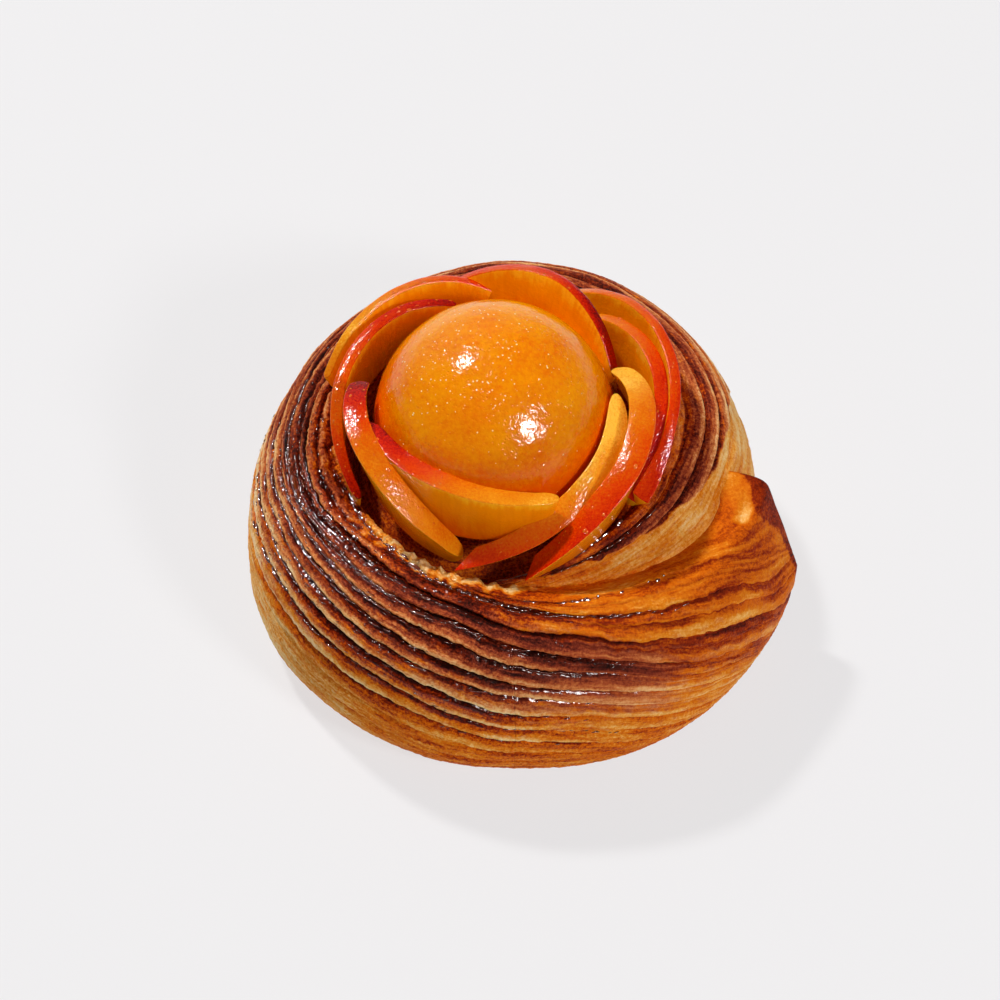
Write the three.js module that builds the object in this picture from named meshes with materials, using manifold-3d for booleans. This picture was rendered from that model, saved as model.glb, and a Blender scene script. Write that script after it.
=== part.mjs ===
// An apricot danish: a ribbon of laminated dough stood on its edge and coiled clockwise, with a glazed
// apricot in the well of the coil and a rose of thin apricot slices round it.
// Millimetres, +Z up. The origin is on the table under the middle of the whole pastry.
import * as THREE from 'three';
import { mergeVertices } from 'three/addons/utils/BufferGeometryUtils.js';
import Module from 'manifold-3d';

const wasm = await Module();
wasm.setup();

// The coil. Winding angles are in degrees, counted clockwise from the loose end.
const LOOSE_END_ANGLE = -10;
const WINDING = 455;
const SWEEP_JOIN = 200;
const SWEEP_STEP = 7;

// Sizes that change along the winding: [winding angle, millimetres].
const OUTER_RADIUS = [
  [0, 59.4], [20, 56.6], [45, 54.3], [75, 50.8], [110, 50], [150, 48.6], [190, 45.9], [230, 47.2],
  [270, 50.5], [310, 50.9], [345, 50.4], [370, 46], [400, 39], [430, 35], [455, 33.5],
];
const LIP_RADIUS = [
  [0, 41], [10, 40.5], [30, 36.5], [46, 34.7], [68, 32], [90, 30.2], [117, 28.7], [145, 28.3],
  [430, 28], [455, 28],
];
const CREST_HEIGHT = [
  [0, 46], [12, 41], [25, 39], [45, 41], [75, 42.5], [150, 43], [230, 44.5], [290, 45.5], [340, 46],
  [370, 45], [410, 42], [455, 36],
];
const BULGE_HEIGHT = [[0, 19], [25, 15], [60, 13], [150, 12], [240, 18], [330, 16], [455, 16]];
const UNDERCUT = [[0, 5], [60, 5], [90, 8], [115, 10], [140, 9], [170, 6], [200, 5]];

// The cross section of the ribbon, whose loose end is a thin flap with its crest further out.
const CREST_SHARE = [[0, 0.42], [12, 0.38], [35, 0.2], [70, 0.12]];
const LIP_DROP = [[0, 7], [12, 6], [40, 4], [70, 3]];
const LIP_SHARE = [[0, 0.22], [35, 0.16], [70, 0.1]];
const SHOULDER_POWER = [[0, 1.02], [12, 1.4], [30, 2.2], [60, 2.4]];
const UPPER_SHARE = 0.72;
const WALL_INSET = 6;

// The cut layers that show as steps along the outside of the ribbon.
const RIDGES = 14;
const RIDGE_DEPTH = 0.9;
const RIDGE_STEPS = [[0, -0.6], [0.3, 0.35], [0.8, 0.4]];
const RIDGE_FADE = 0.08;

// Where the loose end lay against the coil, the wall behind it stays smooth below the shoulder.
const COVERED_FROM = [[300, 0], [345, 1]];
const COVERED_SHARE = [[0.28, 0], [0.36, 1]];

// The loose end is cut aslant: degrees by which it stops short, from its crest (0) to its foot (1).
const END_LEAN = [[0, -4], [0.35, -1], [0.7, 2.5], [1, 9]];
const END_LEAN_REACH = 60;
const END_ROUNDING = [[0, 0.96], [3, 0.99], [8, 1]];

// The floor of the well, under the fruit.
const FLOOR_RADIUS = 30;
const FLOOR_EDGE = 30;
const FLOOR_RISE_RADIUS = 22;
const FLOOR_RISE = 36;
const FLOOR_TOP = 37;
const FLOOR_SIDES = 48;

// The apricot in the middle and the gap kept between neighbours.
const GAP = 0.3;
const APRICOT_RADIUS = 22.6;
const APRICOT_CENTRE = 47.9;
const APRICOT_SIDES = 28;
const APRICOT_RINGS = 10;

// The slices, from the innermost to the outermost. The skin edge of each runs from one plan angle to
// another, with its radius and height at the start, middle and end. lean turns the flesh outwards
// below the skin edge, in degrees, skin is the width of that edge and depth the way to the thin edge.
const SLICES = [
  { from: 197, to: 297, radius: [23.9, 22.8, 25.6], height: [56.8, 57.7, 55.6], lean: 4, skin: 4, depth: 14 },
  { from: 358, to: 259, radius: [22.6, 26, 28.8], height: [57.3, 53, 43.4], lean: -29, skin: 5, depth: 9 },
  { from: 176, to: 257, radius: [24.7, 27.2, 25.7], height: [57.8, 57.5, 41], lean: -6, skin: 4.8, depth: 14 },
  { from: 379, to: 282, radius: [24.1, 29.3, 30.6], height: [53.8, 58, 42.8], lean: -3, skin: 5.2, depth: 12 },
  { from: 108, to: 210, radius: [23.6, 28.9, 28.8], height: [54.6, 54.1, 43.1], lean: -3, skin: 2.4, depth: 14 },
  { from: 105, to: 20, radius: [30.5, 27.1, 24.1], height: [52.3, 60, 50.3], lean: -26, skin: 2.6, depth: 14 },
  { from: 86, to: 163, radius: [26.9, 30.7, 33.2], height: [51.3, 56.2, 48.3], lean: -20, skin: 2.2, depth: 13 },
  { from: 48, to: -32, radius: [27.9, 31, 29.9], height: [53.1, 56.4, 44.6], lean: -15, skin: 3, depth: 13 },
  { from: 64, to: -32, radius: [32.8, 33.9, 31.6], height: [49.4, 57.5, 46.4], lean: -18, skin: 2.2, depth: 11 },
];
const SKIN_CROWN = 0.7;
const CROWN_AT_HALF = 0.25;
const INNER_EDGE = 1;
const SLICE_STEPS = 16;

// How a slice narrows towards its tips: the share kept at the very tip and the power of the curve.
const TIP_MARGIN = 0.04;
const SKIN_TAPER = [0.2, 0.5];
const DEPTH_TAPER = [0.1, 0.7];
const INNER_TAPER = [0.4, 1];

// Half of the share of the face over which its normal is measured, and the least height kept above
// the foot of the ribbon.
const NORMAL_STEP = 0.01;
const LEAST_HEIGHT = 0.1;

const COLOURS = {
  crust: { color: 0x8a4a24, roughness: 0.5, metalness: 0 },
  glazed: { color: 0xe08a14, roughness: 0.2, metalness: 0 },
  skin: { color: 0xe0521c, roughness: 0.25, metalness: 0 },
};

const rad = THREE.MathUtils.degToRad;

// Value at x of a smooth curve through the keys [x, value], level beyond both ends.
function smooth(keys, x) {
  const last = keys.length - 1;
  if (x <= keys[0][0]) return keys[0][1];
  if (x >= keys[last][0]) return keys[last][1];
  const slope = (i) => {
    const a = keys[Math.max(i - 1, 0)];
    const b = keys[Math.min(i + 1, last)];
    return (b[1] - a[1]) / (b[0] - a[0]);
  };
  const i = keys.findIndex((key) => key[0] > x) - 1;
  const [x0, y0] = keys[i];
  const [x1, y1] = keys[i + 1];
  const span = x1 - x0;
  const t = (x - x0) / span;
  const s = 1 - t;
  return s * s * (1 + 2 * t) * y0 + t * s * s * span * slope(i)
    + t * t * (3 - 2 * t) * y1 - t * t * s * span * slope(i + 1);
}

// Value at share t, 0 to 1, of the parabola through a start, a middle and an end value.
function bend([start, middle, end], t) {
  return start * (1 - t) * (1 - 2 * t) + middle * 4 * t * (1 - t) + end * t * (2 * t - 1);
}

// Point of the smooth outer face at share v, 0 at the lip to 1 at the foot, as [radius, height].
function outerFace(winding, v) {
  const outer = smooth(OUTER_RADIUS, winding);
  const lip = smooth(LIP_RADIUS, winding);
  const height = smooth(CREST_HEIGHT, winding);
  const bulge = smooth(BULGE_HEIGHT, winding);
  const crest = lip + smooth(CREST_SHARE, winding) * (outer - lip);
  const power = smooth(SHOULDER_POWER, winding);
  if (v > UPPER_SHARE) {
    const turn = ((v - UPPER_SHARE) / (1 - UPPER_SHARE)) * Math.PI / 2;
    const under = smooth(UNDERCUT, winding);
    return [outer - under * (1 - Math.cos(turn)), bulge * (1 - Math.sin(turn))];
  }
  const turn = (v / UPPER_SHARE) * Math.PI / 2;
  const [s, c] = [Math.sin(turn), Math.cos(turn)];
  const reach = (s ** power + c ** power) ** (-1 / power);
  const fall = Math.max(0, 1 - v / smooth(LIP_SHARE, winding)) ** 2;
  return [
    crest + (outer - crest) * s * reach - (crest - lip) * fall,
    bulge + (height - bulge) * c * reach - smooth(LIP_DROP, winding) * fall,
  ];
}

// The same point moved along the face's normal by out.
function movedFace(winding, v, out) {
  const [r0, z0] = outerFace(winding, Math.max(v - NORMAL_STEP, 0));
  const [r1, z1] = outerFace(winding, Math.min(v + NORMAL_STEP, 1));
  const length = Math.hypot(r1 - r0, z1 - z0);
  const [r, z] = outerFace(winding, v);
  return [r - out * (z1 - z0) / length, z + out * (r1 - r0) / length];
}

// Closed outline of the ribbon at a winding angle: stepped outer face, flat foot, plain inner wall.
function ribbonSection(winding, grow) {
  const points = [];
  for (let ridge = 0; ridge < RIDGES; ridge += 1) {
    for (const [share, relief] of RIDGE_STEPS) {
      const v = (ridge + share) / RIDGES;
      const covered = smooth(COVERED_FROM, winding) * smooth(COVERED_SHARE, v);
      const fade = Math.min(1 - covered, v / RIDGE_FADE, (1 - v) / RIDGE_FADE);
      points.push([v, ...movedFace(winding, v, relief * RIDGE_DEPTH * fade + grow)]);
    }
  }
  points.push([1, outerFace(winding, 1)[0] + grow, -grow]);
  points.push([1, smooth(LIP_RADIUS, winding) - WALL_INSET - grow, -grow]);
  return points;
}

// The section placed round the coil, leaning and rounded off near the loose end.
function placedSection(winding, grow) {
  const section = ribbonSection(winding, grow);
  const size = smooth(END_ROUNDING, winding);
  const middleRadius = section.reduce((sum, point) => sum + point[1], 0) / section.length;
  const middleHeight = section.reduce((sum, point) => sum + point[2], 0) / section.length;
  const lean = Math.max(0, 1 - winding / END_LEAN_REACH) ** 2;
  return section.map(([v, radius, height]) => {
    const r = middleRadius + (radius - middleRadius) * size;
    const rounded = Math.max(middleHeight + (height - middleHeight) * size, LEAST_HEIGHT);
    const z = height <= 0 ? height : rounded;
    const angle = rad(LOOSE_END_ANGLE - winding - smooth(END_LEAN, v) * lean);
    return new THREE.Vector3(r * Math.cos(angle), r * Math.sin(angle), z);
  });
}

// Triangles of an end cap. Put in the ring's own order, each turns the same way as the ring.
function capOf(row) {
  const flat = row.map((p) => new THREE.Vector2(Math.hypot(p.x, p.y), p.z));
  return THREE.ShapeUtils.triangulateShape(flat, []).map((corner) => corner.sort((a, b) => a - b));
}

// Closed mesh through rows of points, each row a ring.
function loft(rows) {
  const count = rows[0].length;
  const positions = rows.flat().flatMap((p) => [p.x, p.y, p.z]);
  const indices = [];
  for (let i = 0; i + 1 < rows.length; i += 1) {
    for (let j = 0; j < count; j += 1) {
      const k = (j + 1) % count;
      const [a, b, c, d] = [i * count + j, i * count + k, (i + 1) * count + j, (i + 1) * count + k];
      indices.push(a, d, b, a, c, d);
    }
  }
  const last = (rows.length - 1) * count;
  capOf(rows[0]).forEach(([a, b, c]) => indices.push(a, b, c));
  capOf(rows[rows.length - 1]).forEach(([a, b, c]) => indices.push(last + a, last + c, last + b));
  const geometry = new THREE.BufferGeometry();
  geometry.setAttribute('position', new THREE.Float32BufferAttribute(positions, 3));
  geometry.setIndex(indices);
  return geometry;
}

// Solid of a closed geometry whose faces point outwards.
function solid(geometry) {
  const bare = geometry.clone();
  bare.deleteAttribute('normal');
  bare.deleteAttribute('uv');
  const merged = mergeVertices(bare);
  const vertProperties = new Float32Array(merged.attributes.position.array);
  const triVerts = new Uint32Array(merged.index.array);
  return new wasm.Manifold(new wasm.Mesh({ numProp: 3, vertProperties, triVerts }));
}

function geometryOf(manifold) {
  const mesh = manifold.getMesh();
  const geometry = new THREE.BufferGeometry();
  geometry.setAttribute('position', new THREE.BufferAttribute(mesh.vertProperties, 3));
  geometry.setIndex(new THREE.BufferAttribute(mesh.triVerts, 1));
  return geometry;
}

// The largest body of a solid that a cut may have left in pieces.
function largest(manifold) {
  return manifold.decompose().reduce((best, body) => (body.volume() > best.volume() ? body : best));
}

// One stretch of the coil between two winding angles.
function coilStretch(from, to, grow) {
  const steps = Math.round((to - from) / SWEEP_STEP);
  const rows = [];
  for (let i = 0; i <= steps; i += 1) {
    rows.push(placedSection(from + (to - from) * (i / steps), grow));
  }
  return solid(loft(rows));
}

function wellFloor(grow) {
  const profile = [
    [0, -grow], [FLOOR_RADIUS, -grow], [FLOOR_RADIUS, FLOOR_EDGE + grow],
    [FLOOR_RISE_RADIUS, FLOOR_RISE + grow], [0, FLOOR_TOP + grow],
  ];
  return solid(new THREE.LatheGeometry(profile.map(([r, z]) => new THREE.Vector2(r, z)), FLOOR_SIDES)
    .rotateX(Math.PI / 2));
}

function pastrySolid(grow) {
  return coilStretch(0, SWEEP_JOIN, grow)
    .add(coilStretch(SWEEP_JOIN, WINDING, grow))
    .add(wellFloor(grow));
}

// The apricot: a ball cut flat where it sits on the floor of the well.
function apricotSolid(grow) {
  const radius = APRICOT_RADIUS + grow;
  const foot = FLOOR_TOP + GAP - grow;
  const start = Math.acos((APRICOT_CENTRE - foot) / radius);
  const profile = [new THREE.Vector2(0, foot)];
  for (let i = 0; i <= APRICOT_RINGS; i += 1) {
    const angle = start + (Math.PI - start) * (i / APRICOT_RINGS);
    const r = i === APRICOT_RINGS ? 0 : radius * Math.sin(angle);
    profile.push(new THREE.Vector2(r, APRICOT_CENTRE - radius * Math.cos(angle)));
  }
  return solid(new THREE.LatheGeometry(profile, APRICOT_SIDES).rotateX(Math.PI / 2));
}

// Size of a slice where its swell is 0 at the tips to 1 in the middle, as a share of its full size.
function tapered([least, power], swell) {
  return least + (1 - least) * swell ** power;
}

// A thin wedge of apricot bent round the middle: a crowned skin edge on top, flat flesh sides and a
// thin edge below, all of them narrower towards both tips.
function sliceSolid(slice, grow) {
  const rows = [];
  const length = slice.radius[1] * Math.abs(rad(slice.to - slice.from));
  for (let i = 0; i <= SLICE_STEPS; i += 1) {
    const t = i / SLICE_STEPS;
    const swell = Math.sin(Math.PI * (TIP_MARGIN + (1 - 2 * TIP_MARGIN) * t));
    const half = (slice.skin / 2) * tapered(SKIN_TAPER, swell) + grow;
    const depth = slice.depth * tapered(DEPTH_TAPER, swell) + grow;
    const thin = (INNER_EDGE / 2) * tapered(INNER_TAPER, swell) + grow;
    const along = t + (2 * t - 1) * (grow / length);
    const angle = rad(slice.from + (slice.to - slice.from) * along);
    const radius = bend(slice.radius, t);
    const top = bend(slice.height, t) + grow;
    const lean = rad(slice.lean);
    const at = (across, down) => {
      const r = radius + across * Math.cos(lean) + down * Math.sin(lean);
      const z = top + across * Math.sin(lean) - down * Math.cos(lean);
      return new THREE.Vector3(r * Math.cos(angle), r * Math.sin(angle), z);
    };
    const crown = SKIN_CROWN * swell;
    rows.push([
      at(-half, crown), at(-half / 2, crown * CROWN_AT_HALF), at(0, 0),
      at(half / 2, crown * CROWN_AT_HALF), at(half, crown), at(thin, depth), at(-thin, depth),
    ]);
  }
  return solid(loft(slice.to < slice.from ? rows : rows.reverse()));
}

function mesh(name, manifold, finish) {
  const part = new THREE.Mesh(geometryOf(manifold), new THREE.MeshStandardMaterial(finish));
  part.name = name;
  return part;
}

const danish = new THREE.Group();
danish.add(mesh('pastry', pastrySolid(0), COLOURS.crust));
danish.add(mesh('apricot', apricotSolid(0), COLOURS.glazed));

let taken = pastrySolid(GAP).add(apricotSolid(GAP));
SLICES.forEach((slice, i) => {
  const cut = largest(sliceSolid(slice, 0).subtract(taken));
  danish.add(mesh(`apricot_slice_${i + 1}`, cut, COLOURS.skin));
  taken = taken.add(sliceSolid(slice, GAP));
});

// The origin goes under the middle of the whole pastry's box.
const box = new THREE.Box3().setFromObject(danish);
const middle = box.getCenter(new THREE.Vector3());
danish.position.set(-middle.x, -middle.y, 0);

export default danish;
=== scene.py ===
"""Looks of an apricot danish: a coil of laminated dough, a glazed apricot and nine apricot slices.

Shapes are worked out in millimetres round the upright axis of the apricot, as whole arrays, and are put
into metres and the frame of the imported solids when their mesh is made.
"""

import itertools
import logging
import math
from dataclasses import dataclass, field
from enum import Enum
from typing import Any, Sequence

import bpy
import numpy as np
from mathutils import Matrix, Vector


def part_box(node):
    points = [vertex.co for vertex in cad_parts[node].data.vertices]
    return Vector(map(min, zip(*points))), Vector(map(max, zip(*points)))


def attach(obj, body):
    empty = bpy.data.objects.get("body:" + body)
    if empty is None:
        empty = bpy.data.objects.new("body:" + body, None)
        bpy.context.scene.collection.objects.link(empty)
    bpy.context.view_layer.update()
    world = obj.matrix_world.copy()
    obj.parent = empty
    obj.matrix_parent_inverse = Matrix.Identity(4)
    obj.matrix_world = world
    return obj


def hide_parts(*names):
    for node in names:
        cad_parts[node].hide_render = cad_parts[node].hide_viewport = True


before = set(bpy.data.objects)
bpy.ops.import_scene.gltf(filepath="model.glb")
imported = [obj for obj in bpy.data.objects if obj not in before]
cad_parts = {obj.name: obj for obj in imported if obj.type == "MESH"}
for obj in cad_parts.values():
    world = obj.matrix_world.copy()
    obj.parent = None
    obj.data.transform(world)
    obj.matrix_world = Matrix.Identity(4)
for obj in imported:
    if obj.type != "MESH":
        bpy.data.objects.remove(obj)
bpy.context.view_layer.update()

LOG = logging.getLogger("danish")
MM = 0.001
MM_PER_DEGREE = 0.84
LEFT_SIDE = (115, 145, 190, 225)
Array = np.ndarray
Keys = Sequence[tuple[float, float]]
Colour = tuple[float, float, float, float]
Stops = Sequence[tuple[float, Colour]]


class Slot(Enum):
    """The record's material slots."""

    CRUST = "crust"
    APRICOT = "glazed_apricot"
    SLICE = "apricot_slice"


def linear(red: int, green: int, blue: int) -> Colour:
    """Shader colour of a screen colour given from 0 to 255: ((c + 0.055) / 1.055) ** 2.4 above the toe.

    Args:
        red: Red of the screen colour.
        green: Green of the screen colour.
        blue: Blue of the screen colour.

    Returns:
        The linear colour with alpha 1.
    """
    shares = [value / 255 for value in (red, green, blue)]
    toe = 0.04045
    parts = [c / 12.92 if c <= toe else ((c + 0.055) / 1.055) ** 2.4 for c in shares]
    return parts[0], parts[1], parts[2], 1.0


def smooth(keys: Keys, x: Array | float) -> Array:
    """Value at x of a cubic Hermite curve through keys, level beyond both ends.

    The slope at key i is (y[i + 1] - y[i - 1]) / (x[i + 1] - x[i - 1]), one-sided at the ends.

    Args:
        keys: Pairs of place and value, in rising order of place.
        x: Places to read.

    Returns:
        The values, in the shape of x.
    """
    places, values = np.array(keys, float).T
    count = len(places)
    before = np.maximum(np.arange(count) - 1, 0)
    after = np.minimum(np.arange(count) + 1, count - 1)
    slope = (values[after] - values[before]) / (places[after] - places[before])
    x = np.clip(np.asarray(x, float), places[0], places[-1])
    i = np.clip(np.searchsorted(places, x, side="right") - 1, 0, count - 2)
    span = places[i + 1] - places[i]
    t = (x - places[i]) / span
    s = 1 - t
    start = s * s * ((1 + 2 * t) * values[i] + t * span * slope[i])
    end = t * t * ((3 - 2 * t) * values[i + 1] - s * span * slope[i + 1])
    return start + end


def step(low: float, high: float, x: Array) -> Array:
    """Smooth rise from 0 at low to 1 at high: t * t * (3 - 2 * t), with t from 0 to 1 between them.

    Args:
        low: Where the rise starts.
        high: Where it ends, which may be below low for a fall.
        x: Places to read.

    Returns:
        The values, in the shape of x.
    """
    t = np.clip((np.asarray(x, float) - low) / (high - low), 0, 1)
    return t * t * (3 - 2 * t)


def window(edges: Sequence[float], x: Array) -> Array:
    """Smooth rise between the first two edges and smooth fall between the last two.

    Args:
        edges: Where the rise starts and ends, then where the fall starts and ends.
        x: Places to read.

    Returns:
        The product of both steps.
    """
    return step(edges[0], edges[1], x) * step(edges[3], edges[2], x)


def mix(low: Array | float, high: Array | float, share: Array) -> Array:
    """Low where share is 0 and high where it is 1."""
    return low + (high - low) * share


def full_turn(count: int) -> Array:
    """Evenly spaced angles of a full turn, as one row, in radians."""
    return np.linspace(0, 2 * math.pi, count + 1)[None, :-1]


def unit(vectors: Array) -> Array:
    """Vectors of length 1 in the same directions."""
    return vectors / np.linalg.norm(vectors, axis=-1, keepdims=True)


def around(radius: Array, angle: Array, level: Array) -> Array:
    """Points round the upright axis.

    Args:
        radius: Distances from the axis.
        angle: Angles round it, in radians.
        level: Heights.

    Returns:
        radius * cos(angle), radius * sin(angle) and level, as the last axis.
    """
    return np.stack([radius * np.cos(angle), radius * np.sin(angle), level], axis=-1)


def ball(turn: Array, angle: Array) -> Array:
    """Points of a ball of radius 1.

    Args:
        turn: Angles from the upward axis, in radians.
        angle: Angles round that axis, in radians.

    Returns:
        sin(turn) * cos(angle), sin(turn) * sin(angle) and cos(turn), as the last axis.
    """
    return around(np.sin(turn), angle, np.cos(turn) + 0 * angle)


def bend(ends: Sequence[float], t: Array) -> Array:
    """Parabola through a start, a middle and an end value at shares 0, 0.5 and 1.

    Args:
        ends: The start, middle and end values.
        t: Shares to read.

    Returns:
        a * (1 - t) * (1 - 2 * t) + 4 * m * t * (1 - t) + b * t * (2 * t - 1).
    """
    start, middle, end = ends
    return start * (1 - t) * (1 - 2 * t) + 4 * middle * t * (1 - t) + end * t * (2 * t - 1)


def put(name: str, data: bpy.types.ID) -> bpy.types.Object:
    """Puts a new object into the scene.

    Args:
        name: The object's name.
        data: Its mesh, light or camera.

    Returns:
        The object.
    """
    made = bpy.data.objects.new(name, data)
    bpy.context.scene.collection.objects.link(made)
    return made


def aim(made: bpy.types.Object, back: Vector) -> None:
    """Turns a light or camera so that its back points in a direction."""
    made.rotation_mode = "QUATERNION"
    made.rotation_quaternion = back.to_track_quat("Z", "Y")


@dataclass(frozen=True)
class Grain:
    """Smooth random relief of one seed, the same on each run.

    A whole-number lattice gets a hashed value from -1 to 1 at each corner, and a place between corners
    gets their smooth blend, the sum over corners of value times the product of step weights.
    """

    seed: int
    octaves: int = 1

    PRIMES = (374761393, 668265263, 2246822519)

    def corner(self, cell: Array) -> Array:
        """Hashed value from -1 to 1 of whole-number places.

        Args:
            cell: Whole numbers, the last axis holding one for each direction.

        Returns:
            The values, without that last axis.
        """
        mixed = np.full(cell.shape[:-1], self.seed * 101 + 7, np.uint32)
        for axis in range(cell.shape[-1]):
            prime = np.full(1, self.PRIMES[axis], np.uint32)
            mixed = mixed + cell[..., axis].astype(np.int64).astype(np.uint32) * prime
            mixed = (mixed ^ (mixed >> np.uint32(15))) * np.full(1, 2246822519, np.uint32)
            mixed = (mixed ^ (mixed >> np.uint32(13))) * np.full(1, 3266489917, np.uint32)
        mixed = mixed ^ (mixed >> np.uint32(16))
        return mixed.astype(float) / 2147483648.0 - 1.0

    def once(self, place: Array) -> Array:
        """One layer of relief at places whose last axis holds the directions."""
        cell = np.floor(place)
        rest = place - cell
        weight = rest * rest * (3 - 2 * rest)
        total = np.zeros(place.shape[:-1])
        for corner in itertools.product((0, 1), repeat=place.shape[-1]):
            share = np.prod(np.where(np.array(corner) == 1, weight, 1 - weight), axis=-1)
            total += share * self.corner(cell + np.array(corner))
        return total

    def at(self, *coordinates: Array) -> Array:
        """Relief at places given by one array for each direction, in units of the grain's own size.

        Args:
            coordinates: Two or three arrays that can be shaped alike.

        Returns:
            Sum over octaves k of relief(place * 2 ** k) / 2 ** k, about -1 to 1.
        """
        place = np.stack(np.broadcast_arrays(*coordinates), axis=-1).astype(float)
        total = np.zeros(place.shape[:-1])
        for octave in range(self.octaves):
            total += self.once(place * 2**octave + 17.3 * octave) / 2**octave
        return total


@dataclass(frozen=True)
class Rough:
    """Random relief or shade on the ribbon: grain of one seed, stretched along the winding.

    length is the grain's size along the winding in millimetres, count how many of them fit across one
    unit, and height the size of the relief.
    """

    seed: int
    octaves: int
    length: float
    count: float
    height: float = 1.0

    def at(self, along: Array, across: Array) -> Array:
        """The relief at distances along the winding and places across it."""
        return Grain(self.seed, self.octaves).at(along / self.length, across * self.count) * self.height


@dataclass(frozen=True)
class Patch:
    """A region of the ribbon with soft edges, and how much a value changes in it.

    windings and places hold the four edges of a window, in winding angles and in the stack of layers.
    Without places it reaches over all layers.
    """

    amount: float
    windings: tuple[float, float, float, float]
    places: tuple[float, float, float, float] = (-10, -9, 99, 100)

    def at(self, winding: Array, place: Array) -> Array:
        """The change at winding angles and places in the stack."""
        return self.amount * window(self.windings, winding) * window(self.places, place)


@dataclass
class Shell:
    """Rings of points in a row, closed at both ends, that become one solid piece.

    points holds ring, place on the ring and x, y, z in millimetres round the apricot's axis. values
    holds named numbers for each point, and flow the distances along and across the surface.
    """

    points: Array
    values: dict[str, Array] = field(default_factory=dict)
    flow: Array | None = None

    def faces(self) -> tuple[Array, Array]:
        """Four-sided faces between neighbouring rings, and triangles that close the two ends.

        Returns:
            Corner numbers of the four-sided faces and of the triangles, all turned outwards.
        """
        rings, count = self.points.shape[:2]
        index = np.arange(rings * count).reshape(rings, count)
        after = np.roll(index, -1, axis=1)
        quads = np.stack([index[:-1], after[:-1], after[1:], index[1:]], axis=-1).reshape(-1, 4)
        first = np.stack([np.full(count, rings * count), after[0], index[0]], axis=-1)
        last = np.stack([np.full(count, rings * count + 1), index[-1], after[-1]], axis=-1)
        return quads, np.concatenate([first, last])

    def centred(self, grid: Array) -> Array:
        """Values of all points in a row, with the mean of the first and of the last ring at the end."""
        flat = grid.reshape(-1, *grid.shape[2:])
        return np.concatenate([flat, grid[:1].mean(axis=1), grid[-1:].mean(axis=1)])

    def mesh(self, name: str, axis: Vector) -> bpy.types.Mesh:
        """Makes the mesh, in metres.

        Args:
            name: The mesh's name.
            axis: The apricot's axis in the frame, in metres, which the points are measured from.

        Returns:
            The mesh, with its values as point attributes.
        """
        places = self.centred(self.points) * MM + np.array(axis)
        quads, fans = self.faces()
        a, b, c, d = (places[quads[:, k]] for k in range(4))
        inside = np.einsum("ij,ij->", a, np.cross(b, c)) + np.einsum("ij,ij->", a, np.cross(c, d))
        if inside < 0:
            quads, fans = quads[:, ::-1], fans[:, ::-1]
        mesh = bpy.data.meshes.new(name)
        mesh.vertices.add(len(places))
        mesh.vertices.foreach_set("co", places.astype(np.float32).ravel())
        mesh.loops.add(quads.size + fans.size)
        corners = np.concatenate([quads.ravel(), fans.ravel()])
        mesh.loops.foreach_set("vertex_index", corners.astype(np.int32))
        mesh.polygons.add(len(quads) + len(fans))
        starts = [np.arange(len(quads)) * 4, quads.size + np.arange(len(fans)) * 3]
        mesh.polygons.foreach_set("loop_start", np.concatenate(starts).astype(np.int32))
        mesh.polygons.foreach_set("use_smooth", np.ones(len(quads) + len(fans), bool))
        mesh.update(calc_edges=True)
        for key, grid in self.values.items():
            layer = mesh.attributes.new(key, "FLOAT", "POINT")
            layer.data.foreach_set("value", self.centred(grid).astype(np.float32))
        if self.flow is not None:
            layer = mesh.attributes.new("flow", "FLOAT_VECTOR", "POINT")
            layer.data.foreach_set("vector", self.centred(self.flow).astype(np.float32).ravel())
        return mesh

    def piece(
        self, name: str, axis: Vector, material: bpy.types.Material, slot: Slot, node: str
    ) -> None:
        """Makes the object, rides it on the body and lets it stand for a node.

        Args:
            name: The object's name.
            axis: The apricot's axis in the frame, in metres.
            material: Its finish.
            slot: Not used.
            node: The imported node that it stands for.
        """
        made = put(name, self.mesh(name, axis))
        made.data.materials.append(material)
        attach(made, "root")
        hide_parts(node)
        LOG.info("%s: %d faces", name, len(made.data.polygons))


class Wire:
    """A shader socket that takes part in Python expressions, each of which adds its Math nodes."""

    def __init__(self, wiring: "Wiring", socket: bpy.types.NodeSocket) -> None:
        """Holds the socket and the nodes that it is among."""
        self.wiring = wiring
        self.socket = socket

    def math(self, operation: str, *values: Any) -> "Wire":
        """Adds a Math node.

        Args:
            operation: The node's operation.
            values: Its inputs, numbers or wires.

        Returns:
            The node's output.
        """
        return self.wiring.add("ShaderNodeMath", {"operation": operation}, dict(enumerate(values)))

    def __add__(self, other: Any) -> "Wire":
        """Sum."""
        return self.math("ADD", self, other)

    def __sub__(self, other: Any) -> "Wire":
        """Difference."""
        return self.math("SUBTRACT", self, other)

    def __rsub__(self, other: Any) -> "Wire":
        """Difference with the wire on the right."""
        return self.math("SUBTRACT", other, self)

    def __mul__(self, other: Any) -> "Wire":
        """Product."""
        return self.math("MULTIPLY", self, other)

    def ramp(self, low: float, high: float) -> "Wire":
        """Smooth rise from 0 where the wire is low to 1 where it is high."""
        settings = {"interpolation_type": "SMOOTHSTEP"}
        sockets = {"Value": self, "From Min": low, "From Max": high}
        return self.wiring.add("ShaderNodeMapRange", settings, sockets)


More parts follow.
